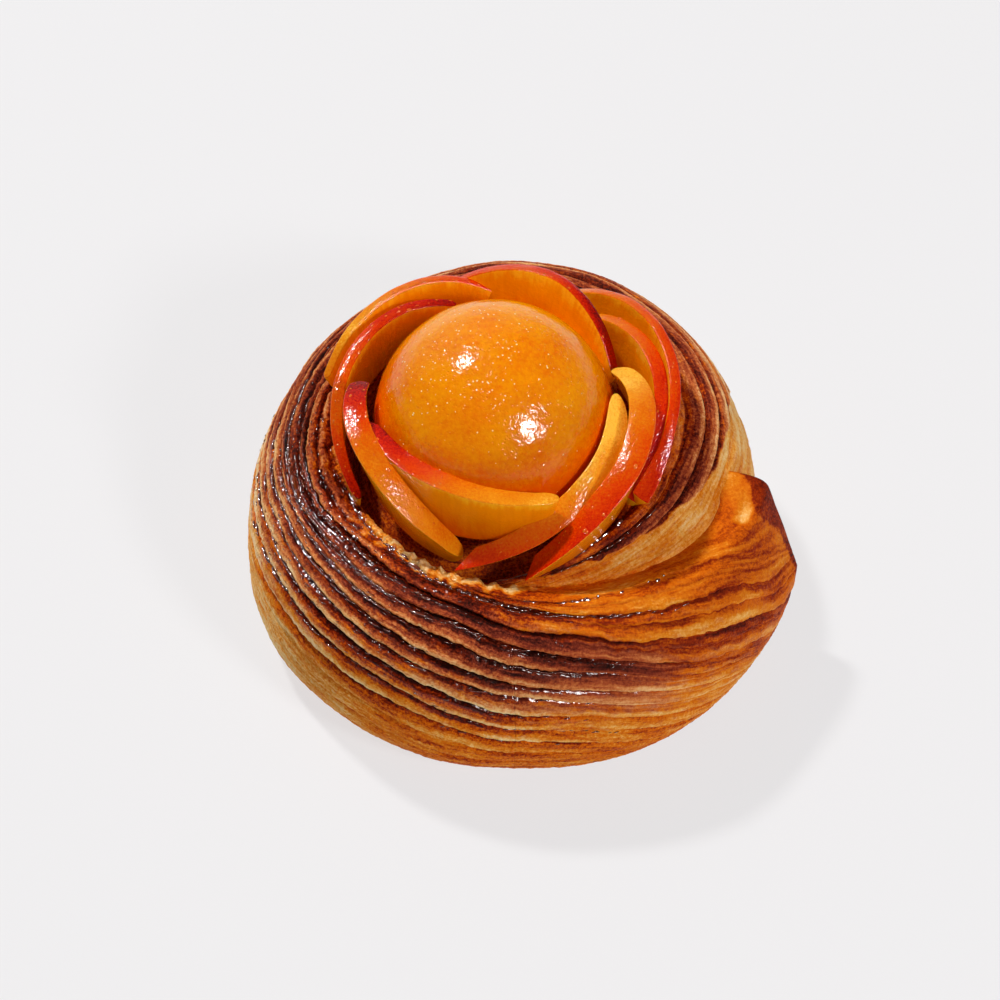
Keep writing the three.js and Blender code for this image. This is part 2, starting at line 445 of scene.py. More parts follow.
class Wiring:
    """The nodes of one tree."""

    def __init__(self, tree: bpy.types.NodeTree) -> None:
        """Empties the tree.

        Args:
            tree: The tree to build in.
        """
        self.tree = tree
        self.tree.nodes.clear()

    def add(self, kind: str, settings: dict[str, Any], sockets: dict[Any, Any], output: Any = 0) -> Wire:
        """Adds any node.

        Args:
            kind: The node's type.
            settings: Its properties, set first. stops are a ramp's places and colours.
            sockets: Values or wires of its inputs, by name or number.
            output: Which output to give back, by name or number.

        Returns:
            That output.
        """
        node = self.tree.nodes.new(kind)
        for key, value in settings.items():
            if key == "stops":
                self.set_stops(node.color_ramp, value)
            else:
                setattr(node, key, value)
        for key, value in sockets.items():
            if isinstance(value, Wire):
                self.tree.links.new(value.socket, node.inputs[key])
            else:
                node.inputs[key].default_value = value
        return Wire(self, node.outputs[output]) if len(node.outputs) else Wire(self, None)

    def set_stops(self, ramp: bpy.types.ColorRamp, stops: Stops) -> None:
        """Gives a colour ramp its places and colours.

        Args:
            ramp: The ramp.
            stops: Pairs of place and colour, in rising order.
        """
        while len(ramp.elements) < len(stops):
            ramp.elements.new(1.0)
        for element, (place, colour) in zip(ramp.elements, stops):
            element.position = place
            element.color = colour


class Paint(Wiring):
    """One material and its node tree."""

    def __init__(self, name: str) -> None:
        """Makes an empty node material.

        Args:
            name: The material's name.
        """
        self.material = bpy.data.materials.new(name)
        self.material.use_nodes = True
        super().__init__(self.material.node_tree)

    def value(self, name: str) -> Wire:
        """A number that the piece holds at each point."""
        return self.add("ShaderNodeAttribute", {"attribute_name": name}, {}, "Fac")

    def flow(self, scale: Sequence[float]) -> Wire:
        """Distances along and across the surface, in millimetres, times a scale for each direction."""
        flow = self.add("ShaderNodeAttribute", {"attribute_name": "flow"}, {}, "Vector")
        return self.add("ShaderNodeVectorMath", {"operation": "MULTIPLY"}, {0: flow, 1: scale})

    def place(self, scale: float) -> Wire:
        """Place in the object in millimetres, times a scale."""
        place = self.add("ShaderNodeTexCoord", {}, {}, "Object")
        sockets = {0: place, "Scale": scale / MM}
        return self.add("ShaderNodeVectorMath", {"operation": "SCALE"}, sockets)

    def noise(self, vector: Wire, detail: float = 3.0, rough: float = 0.6) -> Wire:
        """Noise from 0 to 1 at a place given in units of its grain."""
        sockets = {"Vector": vector, "Scale": 1.0, "Detail": detail, "Roughness": rough}
        return self.add("ShaderNodeTexNoise", {}, sockets, "Fac")

    def cells(self, vector: Wire) -> Wire:
        """Distance to the nearest of random points, at a place given in units of their spacing."""
        return self.add("ShaderNodeTexVoronoi", {}, {"Vector": vector, "Scale": 1.0}, "Distance")

    def colours(self, factor: Wire, stops: Stops) -> Wire:
        """Colour of a factor through a ramp of stops."""
        return self.add("ShaderNodeValToRGB", {"stops": stops}, {"Fac": factor}, "Color")

    def blend(self, factor: Any, first: Any, second: Any) -> Wire:
        """Blends two colours.

        Args:
            factor: Share of the second one.
            first: The first colour or wire.
            second: The second colour or wire.

        Returns:
            The blended colour.
        """
        return self.add("ShaderNodeMix", {"data_type": "RGBA"}, {0: factor, 6: first, 7: second}, 2)

    def bump(self, height: Wire, distance: float) -> Wire:
        """Normal bent by a height from 0 to 1 over a distance in millimetres."""
        sockets = {"Height": height, "Strength": 1.0, "Distance": distance * MM}
        return self.add("ShaderNodeBump", {}, sockets, "Normal")

    def finish(self, sockets: dict[str, Any]) -> bpy.types.Material:
        """Ends the tree with a Principled shader.

        Args:
            sockets: Values or wires of its inputs.

        Returns:
            The finished material.
        """
        shader = self.add("ShaderNodeBsdfPrincipled", {}, sockets, "BSDF")
        self.add("ShaderNodeOutputMaterial", {}, {"Surface": shader})
        return self.material


@dataclass(frozen=True)
class CrustFinish:
    """Baked laminated dough, from pale crumb to nearly black crust, with syrup in its grooves.

    bake is how dark the dough is, from 0 to 1: its baked colour, with painted shade that
    darkens the grooves under the layers and a painted highlight that pales the layers' lower edges.
    rosy is how far its brown turns from orange to rose, a tone painted in for the soft sheen of
    reflected light, and syrup how wet it is. wall is 1 on the smooth wall behind the loose end, and sleek
    is 1 where long streaks take the place of fine grain.
    """

    name: str = "crust"
    streak_scale: tuple = (0.16, 1.3, 0.0)
    patch_scale: tuple = (0.35, 0.9, 0.0)
    mottle_scale: float = 1.2
    grit_scale: float = 2.0
    relief_height: float = 0.5
    orange_stops: Stops = (
        (0.0, linear(242, 204, 140)),
        (0.18, linear(236, 168, 76)),
        (0.36, linear(222, 126, 16)),
        (0.52, linear(208, 94, 0)),
        (0.68, linear(150, 42, 0)),
        (0.84, linear(80, 12, 0)),
        (1.0, linear(30, 3, 0)),
    )
    # Rose-brown colours, painted in for the soft sheen of reflected light on the brown.
    rosy_stops: Stops = (
        (0.0, linear(244, 208, 156)),
        (0.18, linear(232, 174, 112)),
        (0.36, linear(210, 124, 66)),
        (0.52, linear(176, 80, 40)),
        (0.68, linear(126, 44, 24)),
        (0.84, linear(72, 18, 8)),
        (1.0, linear(28, 4, 2)),
    )

    def material(self) -> bpy.types.Material:
        """Builds the material."""
        paint = Paint(self.name)
        syrup = paint.value("syrup")
        streak = paint.noise(paint.flow(self.streak_scale), 4.0, 0.65)
        mottle = paint.noise(paint.place(self.mottle_scale), 4.0, 0.7)
        grit = paint.noise(paint.place(self.grit_scale), 3.0, 0.75)
        sleek = paint.value("sleek")
        lines = (streak - 0.5) * (1.0 - paint.value("wall") * 0.3)
        grain = (mottle - 0.5) * 0.55 + (grit - 0.5) * 0.75
        # The darkness holds painted shade in the grooves and a painted highlight on the layers' lower
        # edges.
        dark = paint.value("bake") + lines * (0.8 - sleek * 0.1) + grain * (1.0 - sleek * 0.5)
        patch = paint.noise(paint.flow(self.patch_scale), 3.0, 0.6)
        # Painted sheen: a rose tone, in patches, for the soft sheen of reflected light on the brown.
        rosy = (paint.value("rosy") + (patch - 0.5) * 1.6).ramp(0.25, 0.75)
        colour = paint.blend(
            rosy, paint.colours(dark, self.orange_stops), paint.colours(dark, self.rosy_stops))
        wet = (syrup + (mottle - 0.5)).ramp(0.35, 0.7)
        rough = 0.55 - wet * 0.38
        relief = (mottle * 0.5 + grit * 0.4 + lines * 0.4) * (1.0 - wet * 0.85)
        normal = paint.bump(relief, self.relief_height)
        return paint.finish({
            "Base Color": colour,
            "Roughness": rough,
            "Normal": normal,
            "Specular IOR Level": 0.04,
            "Specular Tint": (1.0, 0.8, 0.7, 1.0),
            "Coat Weight": wet * 0.25,
            "Coat Roughness": 0.07,
        })


@dataclass(frozen=True)
class GlazeFinish:
    """Peeled apricot under a clear glaze full of fine bubbles, with pale dots painted on as sparkles.

    low is how far the fruit turns from its bright colour to its deep one, painted shade that darkens it
    towards the bottom and lightens it towards the back. specks is how many painted sparkles
    there are, pale dots that stand in for glints of the glaze. Scales are in grains per millimetre.
    """

    name: str = "glazed_apricot"
    deep: Colour = linear(222, 84, 0)
    bright: Colour = linear(242, 154, 0)
    # Colour of the painted sparkles.
    pale: Colour = linear(255, 220, 150)
    cloud_scale: float = 0.09
    fibre_scale: float = 1.1
    sparkle_scale: float = 1.0
    ripple_scale: float = 1.7
    pit_scale: float = 1.15
    ripple_height: float = 0.065

    def material(self) -> bpy.types.Material:
        """Builds the material."""
        paint = Paint(self.name)
        cloud = paint.noise(paint.place(self.cloud_scale), 3.0, 0.55)
        fibre = paint.noise(paint.place(self.fibre_scale), 4.0, 0.7)
        # low darkens the colour: painted shade towards the bottom, and lighter towards the back.
        share = cloud * 0.6 + 0.2 + (fibre - 0.5) * 0.6 - paint.value("low") * 0.7
        colour = paint.blend(share.ramp(0.1, 0.85), self.deep, self.bright)
        # Painted sparkles: pale dots on a share of random cells, thickest near the upper left highlight.
        cell = paint.cells(paint.place(self.sparkle_scale))
        kept = paint.noise(paint.place(0.7), 2.0, 0.6) + paint.value("specks") * 0.3
        sparkle_dot = (1.0 - cell.ramp(0.1, 0.2)) * kept.ramp(0.6, 0.64)
        colour = paint.blend(sparkle_dot, colour, self.pale)
        ripple = paint.noise(paint.place(self.ripple_scale), 1.0, 0.5)
        pit = paint.cells(paint.place(self.pit_scale)).ramp(0.1, 0.3)
        normal = paint.bump(ripple + sparkle_dot * 0.5 + pit * 0.7, self.ripple_height)
        return paint.finish({
            "Base Color": colour,
            "Roughness": 0.08,
            "Normal": normal,
            "Specular IOR Level": 0.25,
            "Subsurface Weight": 0.12,
            "Subsurface Radius": (1.0, 0.35, 0.08),
            "Subsurface Scale": 0.003,
        })


@dataclass(frozen=True)
class SliceFinish:
    """Fresh apricot slice: blushed skin along its edge and orange flesh under a thin glaze.

    skin is 1 on the skin and 0 on the flesh, blush is how red the skin is and deep how far into the
    flesh a point lies.
    """

    name: str = "apricot_slice"
    fine_scale: float = 2.2
    cloud_scale: float = 0.16
    freckle_scale: float = 3.4
    fibre_scale: tuple = (0.9, 0.16, 0.0)
    ripple_scale: float = 1.8
    ripple_height: float = 0.11
    skin_stops: Stops = (
        (0.0, linear(242, 182, 60)),
        (0.18, linear(222, 136, 16)),
        (0.45, linear(210, 92, 2)),
        (0.66, linear(206, 54, 0)),
        (0.85, linear(184, 20, 0)),
        (1.0, linear(116, 4, 0)),
    )
    flesh_stops: Stops = (
        (0.0, linear(240, 164, 20)),
        (0.16, linear(232, 132, 0)),
        (0.5, linear(218, 116, 0)),
        (1.0, linear(198, 76, 0)),
    )

    def material(self) -> bpy.types.Material:
        """Builds the material."""
        paint = Paint(self.name)
        fine = paint.noise(paint.place(self.fine_scale), 3.0, 0.65)
        cloud = paint.noise(paint.place(self.cloud_scale), 3.0, 0.6)
        freckle = paint.noise(paint.place(self.freckle_scale), 1.0, 0.5).ramp(0.56, 0.74)
        blush = paint.value("blush") + (cloud - 0.5) * 0.3 + (fine - 0.5) * 0.5 + freckle * 0.06
        fibre = paint.noise(paint.flow(self.fibre_scale), 3.0, 0.6)
        deep = paint.value("deep") + (fibre - 0.5) * 0.5 + (cloud - 0.5) * 0.4
        skin = paint.colours(blush, self.skin_stops)
        flesh = paint.colours(deep, self.flesh_stops)
        share = (paint.value("skin") + (fine - 0.5) * 0.3).ramp(0.35, 0.65)
        colour = paint.blend(share, flesh, skin)
        normal = paint.bump(paint.noise(paint.place(self.ripple_scale), 1.0, 0.5), self.ripple_height)
        return paint.finish({
            "Base Color": colour,
            "Roughness": 0.07,
            "Normal": normal,
            "Specular IOR Level": 0.22,
            # A faint glow in the slice's own colour, painted light that stands in for light shining
            # through the flesh.
            "Emission Color": colour,
            "Emission Strength": 0.09,
            "Subsurface Weight": 0.15,
            "Subsurface Radius": (1.0, 0.35, 0.06),
            "Subsurface Scale": 0.003,
        })


@dataclass
class Coil:
    """The ribbon of laminated dough, wound clockwise round the well from its loose end.

    Winding angles are in degrees from the loose end, and a share across the outer face runs from 0 at
    the lip to 1 at the foot. Lengths are in millimetres. A field of kind Rough is a random part of the
    relief or the shade, and one of kind Patch changes a region of it. Tones run from 0, pale crumb, to
    1, nearly black. A field that ends in along goes by winding angle, and one that ends in across by
    place in the stack of layers.
    """

    axis: Vector
    loose_end: float = -10.0
    winding: float = 455.0
    pieces: int = 6
    winding_step: float = 0.3
    face_count: int = 330
    foot_count: int = 6
    wall_count: int = 24
    cap_count: int = 22
    cap_depth: float = 0.9
    outer_radius: Keys = (
        (0, 59.4), (20, 56.6), (45, 54.3), (75, 50.8), (110, 50), (150, 48.6), (190, 45.9), (230, 47.2),
        (270, 50.5), (310, 50.9), (345, 50.4), (370, 46), (400, 39), (430, 35), (455, 33.5),
    )
    lip_radius: Keys = (
        (0, 41), (10, 40.5), (30, 36.5), (46, 34.7), (68, 32), (90, 30.2), (117, 28.7), (145, 28.3),
        (430, 28), (455, 28),
    )
    crest_height: Keys = (
        (0, 46), (12, 41), (25, 39), (45, 41), (75, 42.5), (150, 43), (230, 44.5), (290, 45.5), (340, 46),
        (370, 45), (410, 42), (455, 36),
    )
    bulge_height: Keys = ((0, 19), (25, 15), (60, 13), (150, 12), (240, 18), (330, 16), (455, 16))
    undercut: Keys = ((0, 5), (60, 5), (90, 8), (115, 10), (140, 9), (170, 6), (200, 5))
    crest_share: Keys = ((0, 0.42), (12, 0.38), (35, 0.2), (70, 0.12))
    lip_drop: Keys = ((0, 7), (12, 6), (40, 4), (70, 3))
    lip_share: Keys = ((0, 0.22), (35, 0.16), (70, 0.1))
    shoulder_power: Keys = ((0, 1.02), (12, 1.4), (30, 2.2), (60, 2.4))
    upper_share: float = 0.72
    wall_inset: float = 6.0
    end_lean: Keys = ((0, -4), (0.35, -1), (0.7, 2.5), (1, 9))
    end_lean_reach: float = 60.0
    end_rounding: Keys = ((0, 0.96), (3, 0.99), (8, 1))
    layer_depth: float = 0.95
    rough_along: Keys = ((0, 0.7), (50, 0.9), (80, 1), (175, 1), (225, 0.5), (340, 0.35), (455, 0.45))
    overhang: float = 0.5
    wander: Rough = Rough(3, 2, 16, 0.5, 0.1)
    waver: Rough = Rough(4, 2, 2.6, 0.7, 0.05)
    tremble: Rough = Rough(5, 2, 0.9, 1.3, 0.035)
    blisters: Rough = Rough(21, 3, 1.1, 4, 0.15)
    pimples: Rough = Rough(22, 2, 0.6, 7, 0.12)
    ridges: Rough = Rough(23, 2, 9, 6)
    unevenness: Rough = Rough(24, 2, 26, 3, 0.5)
    lip_flakes: Rough = Rough(25, 3, 2.4, 30, 0.5)
    wrinkles: Rough = Rough(26, 3, 6, 1.6, 0.3)
    crumb: Rough = Rough(41, 3, 3, 9, 0.5)
    band_shade: Rough = Rough(31, 2, 9, 1.5, 0.1)
    layer_shade: Rough = Rough(35, 2, 8, 5, 0.1)
    wall_shade: Rough = Rough(32, 3, 9, 22, 0.12)
    lip_edge: Rough = Rough(33, 2, 3, 20, 0.02)
    lip_shade: Rough = Rough(36, 2, 1.4, 40, 0.24)
    puddles: Rough = Rough(34, 2, 5, 1.3)
    covered_edge_rough: Rough = Rough(2, 3, 4, 0, 0.012)
    end_face_rough: Rough = Rough(6, 2, 1.5, 30, 0.5)
    hollow_rough: Rough = Rough(7, 2, 1.68, 30, 0.15)
    line_windings: tuple = (0, 10, 20, 30, 40, 50, 60, 70, 80, 90, 100, 115, 130, 145, 160, 180, 230)
    line_shares: tuple = (
        (-1, (0.62, 0.37, 0.16, 0.1, 0.085, 0.084, 0.085, 0.078, 0.055, 0.03, 0.0, -0.03, -0.05, -0.05,
              -0.05, -0.05, -0.05)),
        (0, (0.68, 0.56, 0.345, 0.262, 0.222, 0.178, 0.148, 0.113, 0.083, 0.05, 0.03, 0.017, 0.013, 0.012,
             0.015, 0.02, 0.02)),
        (1, (0.78, 0.71, 0.55, 0.435, 0.36, 0.3, 0.235, 0.218, 0.178, 0.127, 0.103, 0.083, 0.082, 0.108,
             0.115, 0.112, 0.112)),
        (2, (0.86, 0.79, 0.69, 0.57, 0.475, 0.39, 0.335, 0.295, 0.25, 0.195, 0.183, 0.17, 0.155, 0.175,
             0.2, 0.215, 0.2)),
        (3, (0.9, 0.84, 0.75, 0.63, 0.53, 0.44, 0.385, 0.36, 0.325, 0.27, 0.253, 0.23, 0.213, 0.22,
             0.243, 0.265, 0.27)),
        (4, (0.93, 0.87, 0.79, 0.69, 0.59, 0.51, 0.46, 0.43, 0.395, 0.353, 0.32, 0.283, 0.263, 0.267,
             0.29, 0.32, 0.34)),
        (5, (0.95, 0.89, 0.82, 0.74, 0.65, 0.57, 0.51, 0.467, 0.44, 0.4, 0.373, 0.34, 0.32, 0.317,
             0.34, 0.38, 0.41)),
        (6, (0.96, 0.91, 0.85, 0.79, 0.71, 0.635, 0.57, 0.535, 0.51, 0.468, 0.433, 0.393, 0.38, 0.373,
             0.39, 0.43, 0.475)),
        (7, (0.97, 0.93, 0.88, 0.83, 0.77, 0.7, 0.64, 0.602, 0.575, 0.535, 0.493, 0.455, 0.437, 0.43,
             0.445, 0.49, 0.54)),
        (8, (0.98, 0.95, 0.91, 0.87, 0.82, 0.765, 0.71, 0.665, 0.64, 0.6, 0.567, 0.535, 0.515, 0.505,
             0.515, 0.555, 0.605)),
        (9, (0.985, 0.96, 0.93, 0.9, 0.87, 0.82, 0.775, 0.735, 0.71, 0.67, 0.64, 0.61, 0.59, 0.58,
             0.585, 0.62, 0.67)),
    )
    end_face_edge: Keys = (
        (0.05, -1), (0.1, 2), (0.13, 5.5), (0.18, 7.4), (0.25, 6.8), (0.33, 5), (0.42, 3), (0.55, 2.2),
        (0.7, 1.2), (0.8, -1),
    )
    hollow_middle: tuple = (8.6, 0.118)
    hollow_reach: tuple = (4.2, 0.042)
    hollow_depth: float = 0.9
    covered_calm: float = 0.82
    wet_calm: float = 0.95
    half_height: float = 0.7
    band_rise: float = 0.85
    band_fall: float = 0.965
    end_face_tone: float = 0.74
    hollow_tone: float = 0.16
    lip_tone: float = 0.2
    # Painted highlight: how much paler the lower edge of each layer is painted, where light catches it.
    edge_highlight_tone: float = 0.2
    puddle_share: float = 0.25
    floor_profile: Keys = (
        (0.5, 0), (15, 0), (28, 0), (30, 1), (30, 14), (30, 28), (28, 31), (25, 33.6), (22, 36),
        (18, 36.4), (14, 36.6), (10, 36.8), (6, 36.9), (3, 37), (0.5, 37),
    )
    floor_rough: float = 0.4
    depth_along: Keys = (
        (0, 0.5), (20, 0.7), (45, 0.9), (70, 1), (170, 1), (220, 0.85), (330, 0.6), (455, 0.6),
    )
    depth_across: Keys = (
        (-1.6, 0.1), (-1, 0.35), (-0.2, 0.7), (0.5, 1), (7.5, 1), (9, 0.5), (10, 0.3), (14, 0.2),
    )
    band_start: Keys = ((0, -0.15), (40, -0.12), (80, 0.1), (160, 0.15), (230, 0.1), (340, -0.1))
    # Groove tones: baked colour and syrup, darkened further by painted shade where the layer above hangs
    # over.
    groove_tone: Keys = (
        (-2, 0.55), (-1.2, 0.7), (-0.6, 0.75), (0, 0.9), (1, 0.98), (3, 1), (5, 0.96), (7, 0.88),
        (8.5, 0.64), (9.5, 0.52), (14, 0.5),
    )
    crest_tone: Keys = (
        (-2, 0.4), (-1, 0.55), (0, 0.66), (0.8, 0.64), (1.3, 0.79), (2, 0.68), (2.7, 0.56), (3.6, 0.48),
        (4.5, 0.4), (6, 0.3), (7.5, 0.28), (8.6, 0.34), (9.5, 0.4), (14, 0.46),
    )
    # Groove tones of the loose end, with the same painted shade in the grooves.
    groove_tail: Keys = (
        (-2, 0.46), (-1, 0.6), (-0.5, 0.55), (0, 0.76), (1, 0.84), (2, 0.72), (3, 0.6), (4, 0.5),
        (6, 0.5), (8, 0.56), (14, 0.6),
    )
    crest_tail: Keys = (
        (-2, 0.4), (-1, 0.52), (-0.5, 0.48), (0, 0.5), (0.9, 0.42), (1.2, 0.64), (1.9, 0.5), (2.5, 0.56),
        (3.2, 0.46), (4, 0.25), (6, 0.27), (8, 0.42), (14, 0.54),
    )
    groove_along: Keys = ((0, 0), (90, 0), (150, 0), (200, -0.05), (300, -0.18), (455, -0.14))
    crest_along: Keys = (
        (0, 0.02), (30, 0), (90, 0.02), (130, 0), (160, -0.02), (230, -0.02), (300, -0.04),
        (325, -0.04), (350, -0.03), (380, 0), (455, 0.05),
    )
    wet_along: Keys = (
        (0, 0.05), (30, 0.25), (50, 0.55), (80, 0.7), (150, 0.75), (185, 0.4), (230, 0.1), (350, 0.1),
        (400, 0.3),
    )
    wet_across: Keys = (
        (-2, 0.3), (-1, 0.6), (0.2, 0.7), (1, 0.7), (2, 0.85), (5, 0.9), (8, 0.5), (9, 0.1), (14, 0),
    )
    # How strongly the painted edge highlight shows in each layer of the stack.
    edge_across: Keys = ((0, 0), (1, 0.3), (2.5, 1), (7.5, 1), (9, 0.5), (10, 0))
    # Where the painted sheen turns the brown rose, along the winding and across the stack.
    rosy_along: Keys = ((0, 0.5), (50, 0.5), (85, 1), (200, 1), (300, 0.9), (455, 0.8))
    rosy_across: Keys = (
        (-2, 0.2), (-0.5, 0.3), (1, 0.6), (2, 1), (4, 0.85), (7.5, 0.4), (8.6, 0.1), (10, 0),
    )
    wall_tone: Keys = ((325, 0.12), (350, 0.15), (370, 0.19), (390, 0.27), (412, 0.4))
    front_edge: tuple = (52, 84)
    lip_windings: tuple = (58, 74, 122, 138)
    split_left: Patch = Patch(1, LEFT_SIDE, (-0.2, 0.3, 2.9, 3.4))
    split_tail: Patch = Patch(0.75, (-2, -1, 40, 66), (-1, 0, 5, 6))
    left_ridges: Patch = Patch(0.16, LEFT_SIDE, (-10, -9, 3, 4.5))
    sleek_tail: Patch = Patch(0.85, (-2, -1, 56, 84), (-10, -9, 5, 7.5))
    bake_patches: tuple = (
        Patch(-0.15, (120, 150, 900, 901), (4.5, 7, 99, 100)),
        Patch(-0.1, (95, 115, 130, 150), (8, 9.5, 99, 100)),
        Patch(0.07, (95, 110, 125, 140), (1.5, 2.5, 5, 6)),
        Patch(0.16, (42, 55, 66, 78), (1, 2, 4, 5)),
        Patch(-0.06, (104, 124, 200, 240)),
        Patch(-0.05, (130, 144, 165, 190), (5, 7, 99, 100)),
    )
    bake_on_bands: Patch = Patch(-0.13, LEFT_SIDE, (-10, -9, 2.5, 3.5))
    # More painted sheen on the left side's bands and on the front.
    rosy_on_bands: Patch = Patch(0.45, LEFT_SIDE, (-0.5, 1, 8, 9.5))
    rosy_front: Patch = Patch(0.5, (36, 50, 74, 90), (1, 2, 5, 6))
    covered_edge: Keys = (
        (300, 1.1), (318, 0.7), (332, 0.41), (345, 0.325), (359, 0.285), (370, 0.25), (386, 0.212),
        (400, 0.19), (412, 0.15), (455, 0.1),
    )

    def outer_face(self, winding: Array, share: Array) -> tuple[Array, Array]:
        """Smooth outer face: a rounded shoulder from crest to bulge, then a quarter turn under it.

        Above the bulge the turn t runs from 0 to 90 degrees, reach is (sin t ** p + cos t ** p) **
        (-1 / p), radius is crest + (outer - crest) * sin t * reach and height is bulge + (height -
        bulge) * cos t * reach, less a fall towards the lip. Below it radius is outer - undercut *
        (1 - cos t) and height is bulge * (1 - sin t).

        Args:
            winding: Winding angles.
            share: Shares across the face.

        Returns:
            Radius and height.
        """
        outer = smooth(self.outer_radius, winding)
        lip = smooth(self.lip_radius, winding)
        height = smooth(self.crest_height, winding)
        bulge = smooth(self.bulge_height, winding)
        power = smooth(self.shoulder_power, winding)
        crest = lip + smooth(self.crest_share, winding) * (outer - lip)
        turn = np.clip(share / self.upper_share, 0, 1) * math.pi / 2
        sine = np.sin(turn)
        cosine = np.clip(np.cos(turn), 0, 1)
        reach = (sine**power + cosine**power) ** (-1 / power)
        fall = np.maximum(0, 1 - share / smooth(self.lip_share, winding)) ** 2
        radius = crest + (outer - crest) * sine * reach - (crest - lip) * fall
        level = bulge + (height - bulge) * cosine * reach - smooth(self.lip_drop, winding) * fall
        under = np.clip((share - self.upper_share) / (1 - self.upper_share), 0, 1) * math.pi / 2
        low_radius = outer - smooth(self.undercut, winding) * (1 - np.cos(under))
        below = share > self.upper_share
        return np.where(below, low_radius, radius), np.where(below, bulge * (1 - np.sin(under)), level)

    def covered(self, winding: Array, share: Array) -> Array:
        """1 on the smooth wall that lay behind the loose end, 0 elsewhere, with a sharp wavy edge."""
        along = winding * MM_PER_DEGREE
        edge = smooth(self.covered_edge, winding) + self.covered_edge_rough.at(along, share)
        return step(edge - 0.008, edge + 0.008, share)

    def line(self, number: float, winding: Array) -> Array:
        """Share across the face of a line between layers."""
        shares = dict(self.line_shares)[number]
        return smooth(tuple(zip(self.line_windings, shares)), winding)

    def layers(self, winding: Array, share: Array) -> Array:
        """Place in the stack of cut layers, a whole number at each line between two layers.

        It rises evenly from each line to the next, and wanders by smooth noise along the lines.
        """
        numbers = [number for number, _ in self.line_shares]
        lines = [self.line(number, winding) for number in numbers]
        first = np.minimum(lines[0] - 0.07, -0.001)
        last = np.maximum(1.001, lines[-1] + 0.05)
        places = [first, *lines, last]
        stack = [numbers[0] - 1, *numbers, 14]
        place = 0 * winding * share + stack[0]
        for low, high, start, end in zip(places, places[1:], stack, stack[1:]):
            place = place + np.clip((share - low) / (high - low), 0, 1) * (end - start)
        along = winding * MM_PER_DEGREE
        fast = self.waver.at(along, place) + self.tremble.at(along, place)
        return place + self.wander.at(along, place) + fast * smooth(self.rough_along, winding)

    def end_face(self, winding: Array, share: Array) -> Array:
        """1 on the dark cut face at the tip of the loose end."""
        along = winding * MM_PER_DEGREE
        edge = smooth(self.end_face_edge, share) + self.end_face_rough.at(along, share)
        return step(edge + 0.9, edge - 0.4, winding)

    def hollow(self, winding: Array, share: Array) -> Array:
        """1 in the pale torn hollow beside the end face, 0 from its rim outwards."""
        along = (winding - self.hollow_middle[0]) / self.hollow_reach[0]
        across = (share - self.hollow_middle[1]) / self.hollow_reach[1]
        rough = self.hollow_rough.at(winding * MM_PER_DEGREE, share)
        return step(1.15, 0.35, np.hypot(along, across) + rough)

    def wet(self, winding: Array, place: Array) -> Array:
        """How much syrup has soaked in, from 0 to 1."""
        return smooth(self.wet_along, winding) * smooth(self.wet_across, place)

    def profile(self, inside: Array, own: Array) -> Array:
        """Height across one layer, from -0.75 in its groove to 0.45, then back at its lower edge.

        Args:
            inside: Shares across the layer.
            own: Noise of the layer's own, which widens or narrows the rise.

        Returns:
            The heights.
        """
        rise = -0.75 + 1.0 * step(0, 0.5 + 0.12 * own, inside) + 0.2 * step(0.4, 0.9, inside)
        return rise - 0.2 * step(0.9, 0.97, inside) - 0.45 * step(0.96, 1.0, inside)

    def relief(self, winding: Array, share: Array) -> tuple[Array, Array, dict[str, Array]]:
        """Height of the layers over the smooth face, how far their edges hang down, and their finish.

        The layers' lower edges are pulled down over the next groove. On the upper left and on the loose
        end they are half as wide.

        Args:
            winding: Winding angles.
            share: Shares across the face.

        Returns:
            Height and overhang in millimetres, and the values of the finish.
        """
        along = winding * MM_PER_DEGREE
        place = self.layers(winding, share)
        number = np.floor(place)
        inside = place - number
        own = Grain(11).at(number * 7.1 + 0.5, along / 24)
        kind = Grain(12).at(number * 5.3 + 0.5, along / 36)
        depth = smooth(self.depth_along, winding) * smooth(self.depth_across, place)
        covered = self.covered(winding, share)
        fade = depth * (1 - self.covered_calm * covered) * (1 - self.end_face(winding, share))
        fade = fade * step(-0.02, 0.025, share) * step(1.0, 0.94, share)
        calm = 1 - self.wet_calm * self.wet(winding, place)
        split = self.split_left.at(winding, place) + self.split_tail.at(winding, place)
        half = 2 * place - np.floor(2 * place)
        start = smooth(self.band_start, winding) + 0.1 * kind
        rise = mix(self.profile(inside, own), self.half_height * self.profile(half, own), split)
        edges = (start, start + self.band_rise, self.band_fall, 1.0)
        band = mix(window(edges, inside), window(edges, half), split)
        bumps = self.blisters.at(along, place) + self.pimples.at(along, place)
        bumps = bumps * mix(0.3, 1.0, band) * calm * smooth(self.rough_along, winding)
        fine = self.ridges.at(along, place) * (0.1 + self.left_ridges.at(winding, place))
        uneven = self.unevenness.at(along, share) * window((0.0, 0.1, 0.85, 1.0), share)
        flakes = self.lip_flakes.at(along, share) * (1 - 0.7 * window(LEFT_SIDE, winding))
        height = self.layer_depth * rise * fade * (1 + 0.25 * own)
        height = height + (bumps + fine) * mix(0.4, 1.0, fade) + uneven + flakes * step(0.05, 0.0, share)
        height = height + self.wrinkles.at(along, place) * covered
        height = height - self.hollow_depth * self.hollow(winding, share)
        down = self.overhang * step(0.5, 0.95, inside) * fade * (1 + 0.4 * kind)
        return height, down, self.finish(winding, share, place, band, own, kind)

